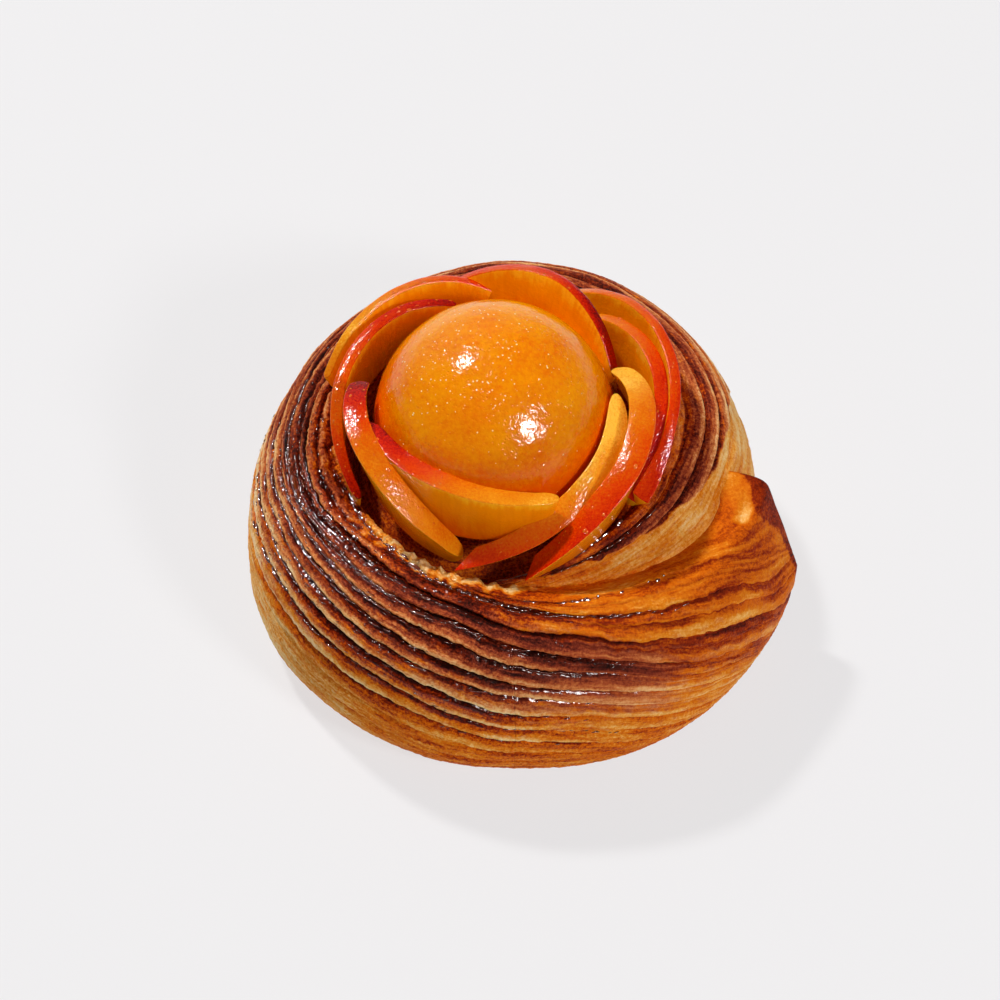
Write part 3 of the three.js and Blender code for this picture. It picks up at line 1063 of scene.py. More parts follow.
    def finish(
        self, winding: Array, share: Array, place: Array, band: Array, own: Array, kind: Array
    ) -> dict[str, Array]:
        """How dark, how rosy and how wet the dough is, with painted shade, highlight and sheen.

        Args:
            winding: Winding angles.
            share: Shares across the face.
            place: Places in the stack of layers.
            band: 1 on the raised band of a layer, 0 in its groove.
            own: Slow noise of each layer's own, for its shade.
            kind: Slow noise of each layer's own, for its wetness.

        Returns:
            The values bake, rosy, syrup, wall and sleek.
        """
        along = winding * MM_PER_DEGREE
        inside = place - np.floor(place)
        front = step(*self.front_edge, winding)
        left = window(LEFT_SIDE, winding)
        covered = self.covered(winding, share)
        groove = mix(smooth(self.groove_tail, place), smooth(self.groove_tone, place), front)
        crest = mix(smooth(self.crest_tail, place), smooth(self.crest_tone, place), front)
        groove = groove + smooth(self.groove_along, winding)
        crest = crest + smooth(self.crest_along, winding)
        # Grooves are darker than the raised bands: partly baked colour and syrup, partly painted shade.
        bake = mix(groove, crest, band) + 0.07 * own + 0.04 * kind
        bake = bake + sum(patch.at(winding, place) for patch in self.bake_patches)
        bake = bake + self.bake_on_bands.at(winding, place) * band
        # Painted highlight: each layer's lower edge is paled, most at the front and less on the loose end
        # and left.
        edge_highlight = window((0.6, 0.88, 0.97, 1.0), inside) * smooth(self.edge_across, place)
        bake = bake - self.edge_highlight_tone * edge_highlight * mix(0.5, 1.0, front) * (1 - 0.5 * left)
        bake = bake + self.band_shade.at(along, place) * mix(0.4, 1, band)
        bake = bake + self.layer_shade.at(along, place)
        wall = smooth(self.wall_tone, winding) + self.wall_shade.at(along, share)
        # Painted shade: on the wall the grooves are painted darker than the bands.
        bake = mix(bake, wall + 0.12 * (1 - band), covered)
        lip = step(0.05, 0.022, share + self.lip_edge.at(along, share))
        lip = lip * window(self.lip_windings, winding)
        bake = mix(bake, self.lip_tone + self.lip_shade.at(along, share), lip)
        bake = mix(bake, self.hollow_tone, self.hollow(winding, share))
        bake = mix(bake, self.end_face_tone, self.end_face(winding, share))
        wet = self.wet(winding, place)
        patchy = self.puddle_share * self.puddles.at(along, place) + 0.15 * kind
        syrup = wet * mix(1.25, 0.35, band) + patchy * np.minimum(1, 3 * wet)
        # Painted sheen: a rose tone for soft reflected light, strongest on the raised bands.
        rosy = smooth(self.rosy_along, winding) * smooth(self.rosy_across, place) * mix(0.3, 1.0, band)
        rosy = rosy + self.rosy_on_bands.at(winding, place) * band + self.rosy_front.at(winding, place)
        return {
            "bake": np.clip(bake, 0, 1),
            "rosy": np.clip(mix(rosy, 0.3, covered), 0, 1),
            "syrup": np.clip(syrup * (1 - covered), 0, 1),
            "wall": covered,
            "sleek": np.clip(self.sleek_tail.at(winding, place) + 0.5 * covered, 0, 1),
        }

    def skin(self, winding: Array, share: Array) -> tuple[Array, Array, dict[str, Array]]:
        """Outer face with its layers, before the end is rounded and leant.

        Args:
            winding: Winding angles.
            share: Shares across the face.

        Returns:
            Radius, height and the values of the finish.
        """
        radius, level = self.outer_face(winding, share)
        small = 0.004
        r0, z0 = self.outer_face(winding, np.clip(share - small, 0, 1))
        r1, z1 = self.outer_face(winding, np.clip(share + small, 0, 1))
        length = np.hypot(r1 - r0, z1 - z0)
        along_r, along_z = (r1 - r0) / length, (z1 - z0) / length
        height, down, values = self.relief(winding, share)
        radius = radius - height * along_z + down * along_r
        level = level + height * along_r + down * along_z
        return radius, level, values

    def placed(self, winding: Array, share: Array, radius: Array, level: Array) -> Array:
        """Points of the ribbon, with its loose end leant.

        Args:
            winding: Winding angles.
            share: Shares across the face, 1 for the foot.
            radius: Distances from the axis.
            level: Heights.

        Returns:
            The points, with x, y, z as their last axis.
        """
        lean = np.maximum(0, 1 - winding / self.end_lean_reach) ** 2
        angle = np.radians(self.loose_end - winding - smooth(self.end_lean, share) * lean)
        return around(radius, angle, level)

    def frame_at(self, winding: Array, place: Array) -> tuple[Array, Array, Array]:
        """Points on the layered face at given stack places, with their directions.

        The share of each point is searched for in three steps, along the slope of the stack places.

        Args:
            winding: Winding angles.
            place: Places in the stack of layers.

        Returns:
            Points, and unit directions along the ribbon and out of its face.
        """
        numbers = [number for number, _ in self.line_shares]
        lines = np.stack([self.line(number, winding) for number in numbers])
        share = np.array([np.interp(p, numbers, column) for p, column in zip(place, lines.T)])
        for _ in range(3):
            found = self.layers(winding, share)
            slope = (self.layers(winding, share + 0.004) - found) / 0.004
            share = share + np.clip((place - found) / np.maximum(slope, 5), -0.01, 0.01)
        radius, level, _ = self.skin(winding, share)
        centre = self.placed(winding, share, radius, level)
        smooth_face = [
            self.placed(winding + dw, share + dv, *self.outer_face(winding + dw, share + dv))
            for dw, dv in ((0, 0), (0.5, 0), (0, 0.01))
        ]
        along = unit(smooth_face[1] - smooth_face[0])
        across = smooth_face[2] - smooth_face[0]
        across = unit(across - along * np.sum(along * across, axis=-1, keepdims=True))
        return centre, along, np.cross(across, along)

    def section(self, winding: Array) -> Shell:
        """Closed rings of the ribbon, one for each winding angle, with all their relief.

        Args:
            winding: Winding angles, in rising order.

        Returns:
            The rings with their values.
        """
        across = np.linspace(0, 1, self.face_count)[None, :]
        winding = winding[:, None]
        radius, level, values = self.skin(winding, across)
        share = np.broadcast_to(across, radius.shape)
        foot = np.linspace(0, 1, self.foot_count + 2)[None, 1:-1]
        inner = smooth(self.lip_radius, winding) - self.wall_inset
        wall = np.linspace(0, 1, self.wall_count + 1)[None, :-1]
        crumb = self.crumb.at(winding * MM_PER_DEGREE, wall) * step(0, 0.1, wall)
        foot_radius = mix(radius[:, -1:], inner, foot)
        wall_radius = mix(inner, radius[:, :1], wall) - crumb
        wall_level = mix(0 * inner, level[:, :1], wall)
        radius = np.concatenate([radius, foot_radius, wall_radius], axis=1)
        level = np.concatenate([level, 0 * foot_radius, wall_level], axis=1)
        wall_share = np.broadcast_to(1 - wall, wall_radius.shape)
        share = np.concatenate([share, 1 + 0 * foot_radius, wall_share], axis=1)
        size = smooth(self.end_rounding, winding)
        middle = radius.mean(axis=1, keepdims=True), level.mean(axis=1, keepdims=True)
        radius = mix(middle[0], radius, size)
        level = np.maximum(mix(middle[1], level, size), 0)
        points = self.placed(winding, share, radius, level)
        extra = {"bake": (0.5, 0.55), "rosy": (0.2, 0.3), "syrup": (0.0, 0.1)}
        grids = {}
        for key, grid in values.items():
            on_foot, on_wall = extra.get(key, (0.0, 0.0))
            more = [np.full(foot_radius.shape, on_foot), np.full(wall_radius.shape, on_wall)]
            grids[key] = np.concatenate([grid, *more], axis=1)
        stack = self.layers(winding, across) * 5
        rest = stack[:, -1:] + np.arange(1, radius.shape[1] - self.face_count + 1)[None, :] * 1.5
        across_mm = np.concatenate([stack, rest], axis=1)
        along_mm = np.broadcast_to(winding * MM_PER_DEGREE, radius.shape)
        return Shell(points, grids, np.stack([along_mm, across_mm, 0 * across_mm], axis=-1))

    def capped(self, shell: Shell) -> Shell:
        """Puts rings before the first one, which shrink to its middle and lose its relief.

        Ring k of them is middle + s * (first ring without its waves above a limit - middle), with s
        from 0.05 to 0.985 and the limit rising with s.

        Args:
            shell: The rings of the ribbon's first piece.

        Returns:
            The rings with the end face.
        """
        first = shell.points[0]
        waves = np.abs(np.fft.fftfreq(len(first)) * len(first))[:, None]
        spectrum = np.fft.fft(first, axis=0)
        share = np.sin(np.linspace(0.05, 1.4, self.cap_count))[:, None, None]
        rings = np.stack([
            np.fft.ifft(spectrum * np.exp(-((waves / limit) ** 2)), axis=0).real
            for limit in 12 + 150 * share[:, 0, 0] ** 3
        ])
        middle = rings.mean(axis=1, keepdims=True)
        rings = middle + (rings - middle) * share
        x, y, z = np.moveaxis(rings, -1, 0)
        away = np.hypot(x, y)
        ring_share = share[..., 0]
        sunk = self.cap_depth * (1 - ring_share**4) + 0.35 * Grain(42, 3).at(away / 3, z / 1.6)
        turn = np.arctan2(y, x) - sunk * (1 - ring_share**8) / away
        rings = around(away, turn, np.maximum(z, 0))
        sheet = Grain(43, 2).at(z / 1.3 + 0.4 * Grain(44, 2).at(away / 5, z / 9), away / 14)
        tone = {"bake": 0.56 + 0.2 * sheet, "rosy": 0.3 + 0 * z}
        values = {key: np.concatenate([tone.get(key, 0 * z), grid]) for key, grid in shell.values.items()}
        flow = np.stack([away, 3 * z, 0 * z], axis=-1)
        return Shell(np.concatenate([rings, shell.points]), values, np.concatenate([flow, shell.flow]))

    def well_floor(self) -> Shell:
        """Dough that closes the coil under the fruit: rings from the middle of the foot to the top."""
        radius, level = np.array(self.floor_profile, float).T
        angle = full_turn(96)
        rough = Grain(51, 3).at(radius[:, None] / 4, angle * 5) * step(27, 31, level)[:, None]
        ring = radius[:, None] + 0 * angle
        height = level[:, None] + (rough - 1) * self.floor_rough
        points = around(ring, angle, np.maximum(height, 0))
        shape = ring.shape
        flow = np.stack([ring * angle, np.broadcast_to(radius[:, None], shape), np.zeros(shape)], axis=-1)
        values = {"bake": np.full(shape, 0.62), "rosy": np.full(shape, 0.3), "syrup": np.full(shape, 0.2)}
        return Shell(points, values, flow)

    def build(self) -> None:
        """Makes the ribbon in pieces that meet end to end, and the floor of the well."""
        material = CrustFinish().material()
        per_piece = self.winding / self.pieces
        for number in range(self.pieces):
            count = int(round(per_piece / self.winding_step)) + 1
            winding = np.linspace(number * per_piece, (number + 1) * per_piece, count)
            shell = self.section(winding) if number else self.capped(self.section(winding))
            shell.piece(f"ribbon_{number + 1}", self.axis, material, Slot.CRUST, "pastry")
        self.well_floor().piece("well_floor", self.axis, material, Slot.CRUST, "pastry")


@dataclass(frozen=True)
class SyrupFinish:
    """Dark clear syrup."""

    name: str = "syrup"
    dark: Colour = linear(60, 14, 4)
    light: Colour = linear(120, 44, 12)
    shade_scale: float = 0.5

    def material(self) -> bpy.types.Material:
        """Builds the material."""
        paint = Paint(self.name)
        shade = paint.noise(paint.place(self.shade_scale))
        colour = paint.blend(shade, self.dark, self.light)
        return paint.finish({
            "Base Color": colour, "Roughness": 0.1, "Specular IOR Level": 1.0,
            "Coat Weight": 1.0, "Coat Roughness": 0.05})


@dataclass(frozen=True)
class DropFinish:
    """Clear glaze over apricot skin."""

    name: str = "glaze_drop"
    dark: Colour = linear(206, 66, 4)
    light: Colour = linear(236, 124, 24)
    shade_scale: float = 0.3

    def material(self) -> bpy.types.Material:
        """Builds the material."""
        paint = Paint(self.name)
        shade = paint.noise(paint.place(self.shade_scale))
        colour = paint.blend(shade, self.dark, self.light)
        return paint.finish({"Base Color": colour, "Roughness": 0.08, "Specular IOR Level": 0.6})


@dataclass
class Drops:
    """Many small drops as one piece, each an ellipsoid of a few dozen faces.

    centre holds their middles and axes the half lengths of each along three directions.
    """

    centre: Array
    axes: Sequence[Array]
    sides: int = 8
    rings: int = 5

    def pattern(self) -> tuple[Array, list[list[int]]]:
        """Points and faces of a ball of radius 1."""
        turn = np.linspace(0, math.pi, self.rings + 1)[1:-1, None]
        angle = full_turn(self.sides)
        ring = ball(turn, angle)
        index = np.arange((self.rings - 1) * self.sides).reshape(self.rings - 1, self.sides)
        after = np.roll(index, -1, axis=1)
        quads = np.stack([index[:-1], index[1:], after[1:], after[:-1]], axis=-1).reshape(-1, 4)
        top = np.stack([np.full(self.sides, index.size), index[0], after[0]], axis=-1)
        foot = np.stack([np.full(self.sides, index.size + 1), after[-1], index[-1]], axis=-1)
        points = np.concatenate([ring.reshape(-1, 3), [[0, 0, 1], [0, 0, -1]]])
        return points, [*quads.tolist(), *top.tolist(), *foot.tolist()]

    def piece(self, name: str, axis: Vector, material: bpy.types.Material, slot: Slot) -> None:
        """Makes the object.

        Args:
            name: The object's name.
            axis: The apricot's axis in the frame, in metres.
            material: Its finish.
            slot: Not used.
        """
        pattern, faces = self.pattern()
        points = self.centre[:, None] + sum(
            pattern[None, :, k, None] * self.axes[k][:, None] for k in range(3))
        count = len(pattern)
        everything = [
            [corner + number * count for corner in face]
            for number in range(len(self.centre)) for face in faces
        ]
        mesh = bpy.data.meshes.new(name)
        mesh.from_pydata((points.reshape(-1, 3) * MM + np.array(axis)).tolist(), [], everything)
        mesh.polygons.foreach_set("use_smooth", np.ones(len(mesh.polygons), bool))
        made = put(name, mesh)
        mesh.materials.append(material)
        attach(made, "root")
        LOG.info("%s: %d drops", name, len(self.centre))


@dataclass
class SyrupBeads:
    """Drops of syrup in rows along the grooves of the ribbon, and threads of it.

    Each row holds the stack place of its drops, then how many of them there are, from 0 to 1, and how
    large they are by winding angle. A thread holds its stack place and its first and last winding
    angle. Sizes are in millimetres, and scatter_size is the logarithm of a factor on them.
    """

    coil: Coil
    spacing: float = 1.2
    scattered: int = 900
    threads: tuple = ((3.25, 61, 77), (4.25, 64, 73), (2.3, 84, 92), (3.3, 112, 119))
    length: float = 0.6
    width: float = 0.38
    height: float = 0.15
    upward: float = 0.55
    jitter: float = 0.6
    size_spread: float = 0.3
    scatter_windings: tuple = (85, 140, 190)
    scatter_places: tuple = (0.4, 7.5)
    scatter_size: float = -0.9
    thread_spacing: float = 0.35
    thread_size: float = 0.55
    rows: tuple = (
        (-0.97, ((30, 0), (38, 0.4), (60, 0.4), (72, 0.2), (80, 0)), ((30, 1.2), (80, 1))),
        (0.12, ((30, 0), (40, 0.5), (66, 0.9), (130, 0.6), (150, 0.2), (165, 0)),
         ((30, 0.9), (70, 1.1), (130, 0.9))),
        (0.3, ((50, 0), (62, 0.6), (75, 0.5), (110, 0.5), (140, 0)), ((50, 0.8), (130, 0.8))),
        (1.5, ((80, 0), (95, 0.5), (120, 0.8), (160, 0.6), (190, 0.3)),
         ((80, 0.7), (120, 1), (190, 1.2))),
        (2.25, ((50, 0.2), (75, 0.6), (100, 0.9), (170, 0.95), (195, 0.5)),
         ((50, 0.8), (100, 1), (128, 1.6), (190, 1.4))),
        (2.45, ((80, 0), (95, 0.5), (130, 0.7), (160, 0.3), (170, 0)), ((80, 0.7), (160, 0.9))),
        (3.3, ((60, 0.1), (90, 0.4), (125, 0.95), (155, 0.8), (175, 0.2)),
         ((60, 0.7), (110, 0.9), (128, 1.5), (170, 1.2))),
        (4.3, ((60, 0.2), (90, 0.4), (117, 0.9), (165, 0.9), (180, 0)),
         ((60, 0.7), (110, 0.8), (130, 1.4), (170, 1.3))),
        (5.3, ((55, 0.3), (90, 0.4), (118, 0.9), (155, 0.9), (175, 0)),
         ((60, 0.7), (110, 0.8), (130, 1.5), (170, 1.2))),
        (5.5, ((70, 0.1), (90, 0.2), (125, 0.3), (150, 0)), ((60, 0.6), (150, 0.7))),
        (6.3, ((55, 0.2), (80, 0.5), (120, 0.3), (135, 0.9), (158, 0.8), (170, 0)),
         ((60, 0.7), (120, 0.8), (140, 1.5))),
        (7.3, ((55, 0.3), (80, 0.6), (95, 0.3), (120, 0.7), (150, 0.9), (165, 0)),
         ((60, 0.7), (120, 0.9), (145, 1.5))),
        (8.3, ((60, 0.2), (80, 0.3), (100, 0.1), (120, 0)), ((60, 0.7), (120, 0.7))),
        (0.5, ((385, 0), (400, 0.8), (425, 0.9), (440, 0.4)), ((385, 1), (440, 1))),
        (1.3, ((380, 0), (395, 0.6), (420, 0.7), (435, 0)), ((385, 1), (440, 0.9))),
    )

    def spots(self) -> tuple[Array, Array, Array]:
        """Winding angle, stack place and size of each drop."""
        chance = np.random.default_rng(7)
        found = []
        for place, share, size in self.rows:
            winding = np.arange(share[0][0], share[-1][0], self.spacing / MM_PER_DEGREE)
            winding = winding + chance.uniform(-self.jitter, self.jitter, winding.size)
            kept = chance.uniform(0, 1, winding.size) < smooth(share, winding)
            winding = winding[kept]
            large = smooth(size, winding) * np.exp(chance.normal(0, self.size_spread, winding.size))
            found.append((winding, place + chance.normal(0, 0.05, winding.size), large))
        winding = chance.triangular(*self.scatter_windings, self.scattered)
        place = chance.uniform(*self.scatter_places, self.scattered)
        large = np.exp(chance.normal(self.scatter_size, self.size_spread, self.scattered))
        found.append((winding, place, large))
        for row, start, end in self.threads:
            winding = np.arange(start, end, self.thread_spacing)
            found.append((winding, row + 0 * winding, self.thread_size + 0 * winding))
        return tuple(np.concatenate(part) for part in zip(*found))

    def build(self) -> None:
        """Makes all drops as one piece: ellipsoids of a few dozen faces that lie on the ledges."""
        winding, place, size = self.spots()
        chance = np.random.default_rng(8)
        centre, along, out = self.coil.frame_at(winding, place)
        out = unit(out * (1 - self.upward) + np.array([0, 0, self.upward]))
        across = np.cross(out, along)
        stretch = np.exp(chance.normal(0.1, 0.4, size.size))
        axes = (
            along * (self.length * size * stretch)[:, None],
            across * (self.width * size)[:, None],
            out * (self.height * size)[:, None],
        )
        Drops(centre, axes).piece("syrup_beads", self.coil.axis, SyrupFinish().material(), Slot.CRUST)


@dataclass
class CentreApricot:
    """The glazed apricot in the middle: a slightly uneven ball cut flat where it sits."""

    axis: Vector
    radius: float = 22.6
    inset: float = 0.1
    centre: float = 47.9
    foot: float = 37.3
    sides: int = 240
    rings: int = 130

    def shell(self) -> Shell:
        """Rings from the foot to the top: radius r * sin(a) and height centre - r * cos(a)."""
        start = math.acos((self.centre - self.foot) / self.radius)
        turn = np.linspace(start, math.pi - 0.01, self.rings)[:, None]
        angle = full_turn(self.sides)
        direction = ball(turn, angle) * np.array([1, 1, -1])
        x, y, z = np.moveaxis(direction, -1, 0)
        swell = 0.18 * Grain(61, 2).at(x * 2, y * 2, z * 2)
        swell = swell + 0.05 * Grain(62, 2).at(x * 14, y * 14, z * 14)
        points = direction * (self.radius - self.inset + swell)[..., None]
        points[..., 2] += self.centre
        # Painted shade: the fruit is darker towards the bottom and lighter towards the back, where the
        # key light falls.
        low = 1.25 * step(0.7, -0.4, z) - 0.35 * step(0.0, 0.75, y)
        # Painted sparkles gather on the upper left, near the key light's highlight.
        near = np.exp(-((x + 0.25) ** 2 + (y - 0.05) ** 2) / 0.3)
        return Shell(points, {"low": low, "specks": np.where(z > 0, near, 0)})

    def build(self) -> None:
        """Makes the apricot."""
        self.shell().piece("centre_apricot", self.axis, GlazeFinish().material(), Slot.APRICOT, "apricot")


@dataclass
class Slice:
    """One thin slice bent round the middle, its skin edge up.

    The skin edge runs from one plan angle to another, with its radius and height at the start, middle
    and end. lean turns the flesh outwards below the skin edge. blush is the skin's red along the
    slice and tips how long its rounded tips are. tilt is how much redder its outer edge is, and slant
    how much further that edge reaches at the end. end_width is the skin's width at the end, as a share
    of skin.
    """

    start: float
    end: float
    radius: tuple[float, float, float]
    height: tuple[float, float, float]
    lean: float
    skin: float
    depth: float
    blush: Keys
    number: int
    tips: tuple[float, float] = (2.0, 2.0)
    tilt: float = 0.0
    slant: float = 0.0
    end_width: float = 0.74
    crown: float = 0.2
    corner: float = 0.2
    drop_size: float = 0.17
    drop_blush: float = 0.3
    inner_edge: float = 1.0
    belly: float = 0.25
    rings: int = 190
    skin_count: int = 40
    side_count: int = 34
    edge_count: int = 6

    def shell(self) -> Shell:
        """Rings along the slice: a crowned skin edge, two flesh sides and a thin edge below.

        With x from -1 to 1 across the skin, a skin point is half * x across and crown * x ** 2 down,
        with its corners rounded by a quarter circle. The sides run straight from the skin's edges to
        the thin edge, swollen a little in their middle. Near both tips all sizes shrink by
        sqrt(1 - (1 - e) ** 2), where e is the distance from the tip over the length of the tip.
        """
        u = np.linspace(0, 1, self.rings)[:, None]
        t = mix(u, 0.5 - 0.5 * np.cos(math.pi * u), 0.6)
        length = self.radius[1] * math.radians(abs(self.end - self.start))
        swell = np.sin(math.pi * (0.04 + 0.92 * t))
        ending = np.clip(np.minimum(t / self.tips[0], (1 - t) / self.tips[1]) * length, 0, 1)
        rounding = mix(0.1, 1.0, np.sqrt(1 - (1 - ending) ** 2))
        half = self.skin / 2 * mix(0.6 + 0.4 * swell**0.5, self.end_width, step(0.75, 1.0, t)) * rounding
        depth = self.depth * (0.1 + 0.9 * swell**0.7) * rounding
        thin = self.inner_edge / 2 * (0.4 + 0.6 * swell) * rounding
        corner = np.minimum(self.corner, half * 0.6)
        crown = self.crown * swell
        x = np.sin(np.linspace(-math.pi / 2, math.pi / 2, self.skin_count))[None, :]
        beyond = np.clip((np.abs(x) * half - half + corner) / corner, 0, 1)
        side = np.linspace(0, 1, self.side_count + 2)[None, 1:-1]
        edge = np.linspace(0, 1, self.edge_count)[None, :]
        belly = self.belly * np.sin(math.pi * side)
        across = np.concatenate([
            half * x, mix(half, thin, side) - belly * half * 0.3, mix(thin, -thin, edge),
            mix(-thin, -half, side) + belly * half * 0.3], axis=1)
        round_edge = 0.25 * (1 - (2 * edge - 1) ** 2)
        down = np.concatenate([
            crown * x**2 + corner * (1 - np.sqrt(1 - beyond**2)), mix(crown + corner, depth, side),
            depth + round_edge * np.minimum(1, depth), mix(depth, crown + corner, side)], axis=1)
        along = length * t + 0 * down
        down = down + 0.16 * Grain(70 + self.number, 2).at(along / 7, across / 3) * swell
        across = across + 0.2 * Grain(80 + self.number, 2).at(along / 9, down / 6) * swell
        along = along + self.slant * (across / self.skin) * step(0.7, 1.0, t)
        lean = math.radians(self.lean)
        radius = bend(self.radius, t) + across * math.cos(lean) + down * math.sin(lean)
        level = bend(self.height, t) + across * math.sin(lean) - down * math.cos(lean)
        angle = np.radians(mix(self.start, self.end, along / length))
        points = around(radius, angle, level)
        on_skin = np.concatenate([
            0.5 + 4.0 * (1 - np.abs(x)), -3 * side, -1 + 0 * edge, -3 * (1 - side)], axis=1) + 0 * t
        blush = smooth(self.blush, t) + self.tilt * np.clip(across / self.skin * 2, -1, 1)
        values = {
            "skin": np.clip(on_skin, 0, 1),
            "blush": np.clip(blush, 0, 1),
            "deep": np.clip(down / self.depth, 0, 1),
        }
        return Shell(points, values, np.stack([along, down, across], axis=-1))

    def drops(self, count: int) -> Drops:
        """Small drops of glaze at random places on the red part of the skin.

        Args:
            count: How many places are drawn, of which the red ones are kept.

        Returns:
            The drops.
        """
        chance = np.random.default_rng(100 + self.number)
        shell = self.shell()
        points = shell.points
        ring = chance.integers(8, self.rings - 8, count)
        column = chance.integers(4, self.skin_count - 4, count)
        red = shell.values["blush"][ring, column] > self.drop_blush
        ring, column, count = ring[red], column[red], red.sum()
        along = points[ring + 1, column] - points[ring - 1, column]
        across = points[ring, column + 1] - points[ring, column - 1]
        out = np.cross(across, along)
        out = out * np.sign(out[:, 2:])
        size = np.exp(chance.normal(math.log(self.drop_size), 0.35, count))[:, None]
        axes = [unit(line) * size for line in (along, across, out)]
        return Drops(points[ring, column], (axes[0] * 1.3, axes[1], axes[2] * 0.35))

    def build(self, axis: Vector, material: bpy.types.Material) -> None:
        """Makes the slice.

        Args:
            axis: The apricot's axis in the frame, in metres.
            material: The finish of all slices.
        """
        node = f"apricot_slice_{self.number}"
        self.shell().piece(f"slice_{self.number}", axis, material, Slot.SLICE, node)


@dataclass
class SliceRose:
    """The nine slices, from the innermost to the outermost, and the drops of glaze on them."""

    axis: Vector
    drop_counts: tuple = (14, 40, 30, 34, 36, 8, 24, 6, 14)

    def slices(self) -> list[Slice]:
        """Sizes of all slices.

        Returns:
            The slices in the order of their nodes.
        """
        front_left = ((0, 0.95), (0.12, 0.88), (0.35, 0.66), (0.5, 0.46), (0.7, 0.3), (1, 0.16))
        front_right = ((0, 0.02), (0.2, 0.06), (0.4, 0.22), (0.6, 0.38), (0.8, 0.56), (1, 0.68))
        left_low = ((0, 1), (0.12, 0.86), (0.3, 0.6), (0.5, 0.42), (0.75, 0.34), (1, 0.28))
        right_low = ((0, 0), (0.12, 0.02), (0.25, 0.3), (0.5, 0.52), (0.75, 0.68), (1, 0.74))
        # Slice 5 turns deep red at its low end: partly its skin's red and syrup, partly painted shade.
        left_high_shaded = ((0, 0.9), (0.3, 0.76), (0.5, 0.6), (0.7, 0.5), (0.85, 0.66), (1, 0.95))
        back_right = ((0, 0.6), (0.4, 0.7), (0.7, 0.9), (1, 1.0))
        back_left = ((0, 0.9), (0.25, 0.6), (0.5, 0.4), (0.8, 0.15), (1, 0.3))
        right_inner = ((0, 0.3), (0.35, 0.6), (0.6, 0.78), (1, 0.85))
        right_outer = ((0, 0.35), (0.25, 0.52), (0.5, 0.64), (0.8, 0.72), (1, 0.74))
        return [
            Slice(197, 297, (23.9, 22.8, 25.6), (56.8, 57.7, 55.6), 4, 4, 14,
                  front_left, 1, (3, 2.4), -0.06),
            Slice(358, 259, (22.6, 26, 28.8), (57.3, 53, 43.4), -29, 5, 9,
                  front_right, 2, (6, 0.3), 0.14, 3, 1.0),
            Slice(176, 257, (24.7, 27.2, 25.7), (57.8, 57.5, 41), -6, 4.8, 14,
                  left_low, 3, (1.2, 2.6), -0.05),
            Slice(379, 282, (24.1, 29.3, 30.6), (53.8, 58, 42.8), -3, 5.2, 12,
                  right_low, 4, (2.4, 0.3), 0.1, 3, 1.0),
            Slice(108, 210, (23.6, 28.9, 28.8), (54.6, 54.1, 43.1), -3, 2.4, 14,
                  left_high_shaded, 5),
            Slice(105, 20, (30.5, 27.1, 24.1), (52.3, 60, 50.3), -26, 2.6, 14,
                  back_right, 6, (5, 3), 0.1),
            Slice(86, 163, (26.9, 30.7, 33.2), (51.3, 56.2, 48.3), -20, 2.2, 13,
                  back_left, 7, (5, 1)),
            Slice(48, -32, (27.9, 31, 29.9), (53.1, 56.4, 44.6), -15, 3, 13,
                  right_inner, 8, (2, 0.3), 0.06, 0, 1.0),
            Slice(64, -32, (32.8, 33.9, 31.6), (49.4, 57.5, 46.4), -18, 2.2, 11,
                  right_outer, 9, (3, 0.3), 0.06, 0, 1.6),
        ]

    def build(self) -> None:
        """Makes all slices in one finish."""
        material = SliceFinish().material()
        drops = []
        for piece, count in zip(self.slices(), self.drop_counts):
            piece.build(self.axis, material)
            drops.append(piece.drops(count))
        centre = np.concatenate([some.centre for some in drops])
        axes = [np.concatenate([some.axes[k] for some in drops]) for k in range(3)]
        Drops(centre, axes).piece("glaze_drops", self.axis, DropFinish().material(), Slot.SLICE)


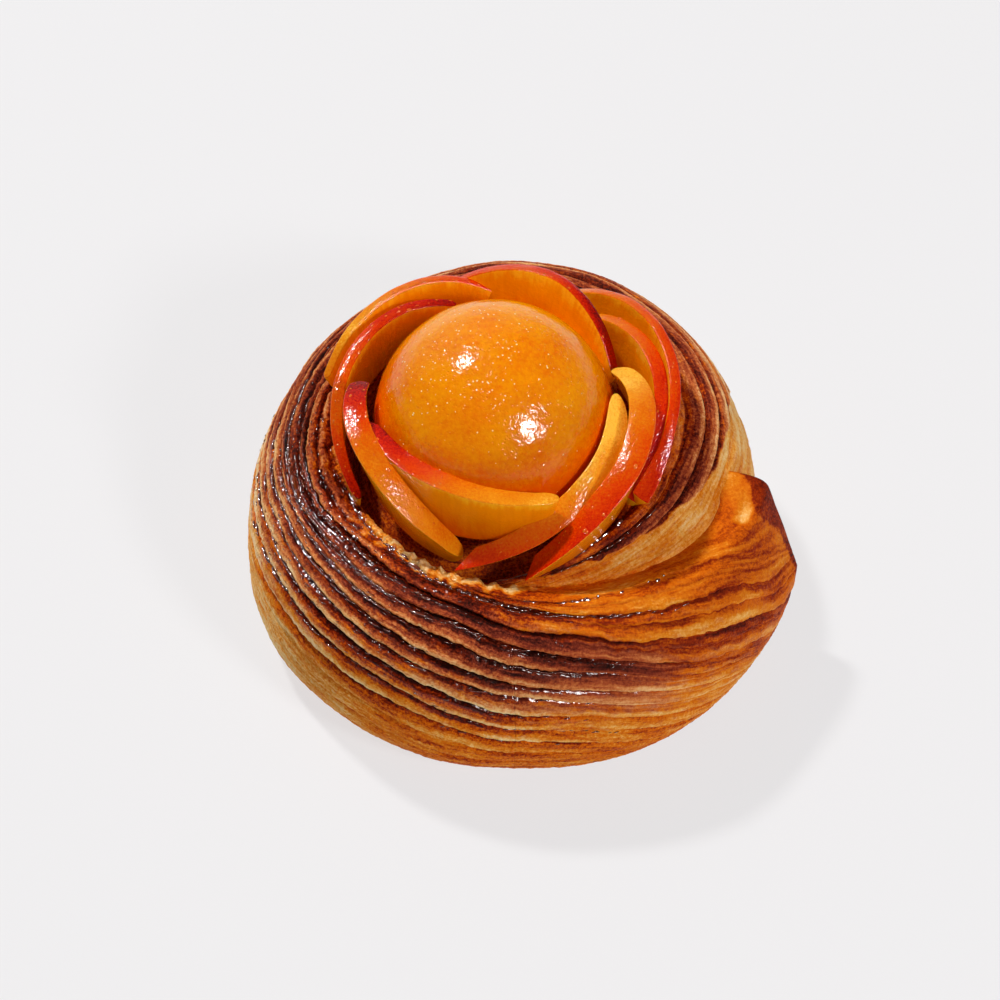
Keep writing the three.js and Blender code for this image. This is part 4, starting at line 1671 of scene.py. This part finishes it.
@dataclass
class Studio:
    """Pale floor, soft light from two sides and the photograph's camera."""

    axis: Vector
    elevation: float = 55.0
    distance: float = 700.0
    target: tuple[float, float, float] = (1.0, 0.0, 22.0)
    focal_pixels: float = 3640.0
    image_pixels: float = 1000.0
    sensor: float = 36.0
    lamp_target: float = 0.03
    light_colour: Colour = (1.0, 0.985, 0.99, 1.0)
    floor_size: float = 4.0
    floor_colour: Colour = (0.16, 0.16, 0.16, 1.0)
    glow_colour: Colour = (1.0, 0.985, 0.995, 1.0)
    floor_glow: float = 0.685
    back_light: float = 0.5
    front_light: float = 0.12
    lamps: tuple = (
        ("key", (-0.4, 0.41, 0.86), 1.3, 0.1, 13.2, False),
        ("fill", (0.55, -0.55, 0.66), 1.2, 0.2, 7.6, False),
        ("key_gleam", (-0.4, 0.41, 0.86), 1.25, 0.26, 12.0, True),
        ("fill_gleam", (0.55, -0.55, 0.66), 1.15, 0.36, 20.0, True),
    )

    def floor(self) -> None:
        """A plain pale floor."""
        half = self.floor_size / 2
        mesh = bpy.data.meshes.new("floor")
        corners = [(-half, -half, 0), (half, -half, 0), (half, half, 0), (-half, half, 0)]
        mesh.from_pydata(corners, [], [(0, 1, 2, 3)])
        made = put("floor", mesh)
        paint = Paint("floor")
        mesh.materials.append(paint.finish({
            "Base Color": self.floor_colour, "Roughness": 0.9, "Specular IOR Level": 0.1,
            "Emission Color": self.glow_colour, "Emission Strength": self.floor_glow}))

    def lamp(
        self, name: str, direction: Sequence[float], away: float, size: float, power: float,
        gloss: bool,
    ) -> None:
        """An area light that faces the danish.

        Args:
            name: The light's name.
            direction: Where it stands, seen from the danish.
            away: Its distance in metres.
            size: The side of its square in metres.
            power: Its power in watts.
            gloss: Whether it only shows in glossy surfaces.
        """
        data = bpy.data.lights.new(name, "AREA")
        data.energy = power
        data.size = size
        made = put(name, data)
        towards = Vector(direction).normalized()
        made.location = towards * away + Vector((0, 0, self.lamp_target))
        aim(made, towards)
        made.visible_diffuse = not gloss

    def world(self) -> None:
        """Soft light from all round, brighter from behind and above than from the front."""
        world = bpy.data.worlds.new("studio")
        world.use_nodes = True
        bpy.context.scene.world = world
        wiring = Wiring(world.node_tree)
        direction = wiring.add("ShaderNodeTexCoord", {}, {}, "Generated")
        towards = wiring.add("ShaderNodeVectorMath", {"operation": "DOT_PRODUCT"},
                             {0: direction, 1: (-0.35, 0.92, 0.12)}, "Value")
        strength = towards.ramp(0.6, 0.98) * (self.back_light - self.front_light) + self.front_light
        sockets = {"Color": self.light_colour, "Strength": strength}
        light = wiring.add("ShaderNodeBackground", {}, sockets)
        wiring.add("ShaderNodeOutputWorld", {}, {"Surface": light})

    def camera(self) -> None:
        """The camera: it looks along +Y from the photograph's height, with the photograph's lens."""
        data = bpy.data.cameras.new("camera")
        data.sensor_width = self.sensor
        data.lens = self.focal_pixels / self.image_pixels * self.sensor
        made = put("camera", data)
        up = math.radians(self.elevation)
        back = Vector((0, -math.cos(up), math.sin(up)))
        made.location = self.axis + (Vector(self.target) + back * self.distance) * MM
        aim(made, back)
        bpy.context.scene.camera = made

    def build(self) -> None:
        """Makes the floor, lights and camera."""
        self.floor()
        self.world()
        for lamp in self.lamps:
            self.lamp(*lamp)
        self.camera()
        bpy.context.scene.view_settings.view_transform = "Standard"


def main() -> None:
    """Builds the studio and the danish round the apricot's axis, taken from its box."""
    logging.basicConfig(level=logging.INFO, format="%(name)s %(message)s")
    low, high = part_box("apricot")
    axis = Vector(((low.x + high.x) / 2, (low.y + high.y) / 2, 0))
    Studio(axis).build()
    coil = Coil(axis)
    coil.build()
    SyrupBeads(coil).build()
    CentreApricot(axis).build()
    SliceRose(axis).build()


if __name__ == "__main__":
    main()
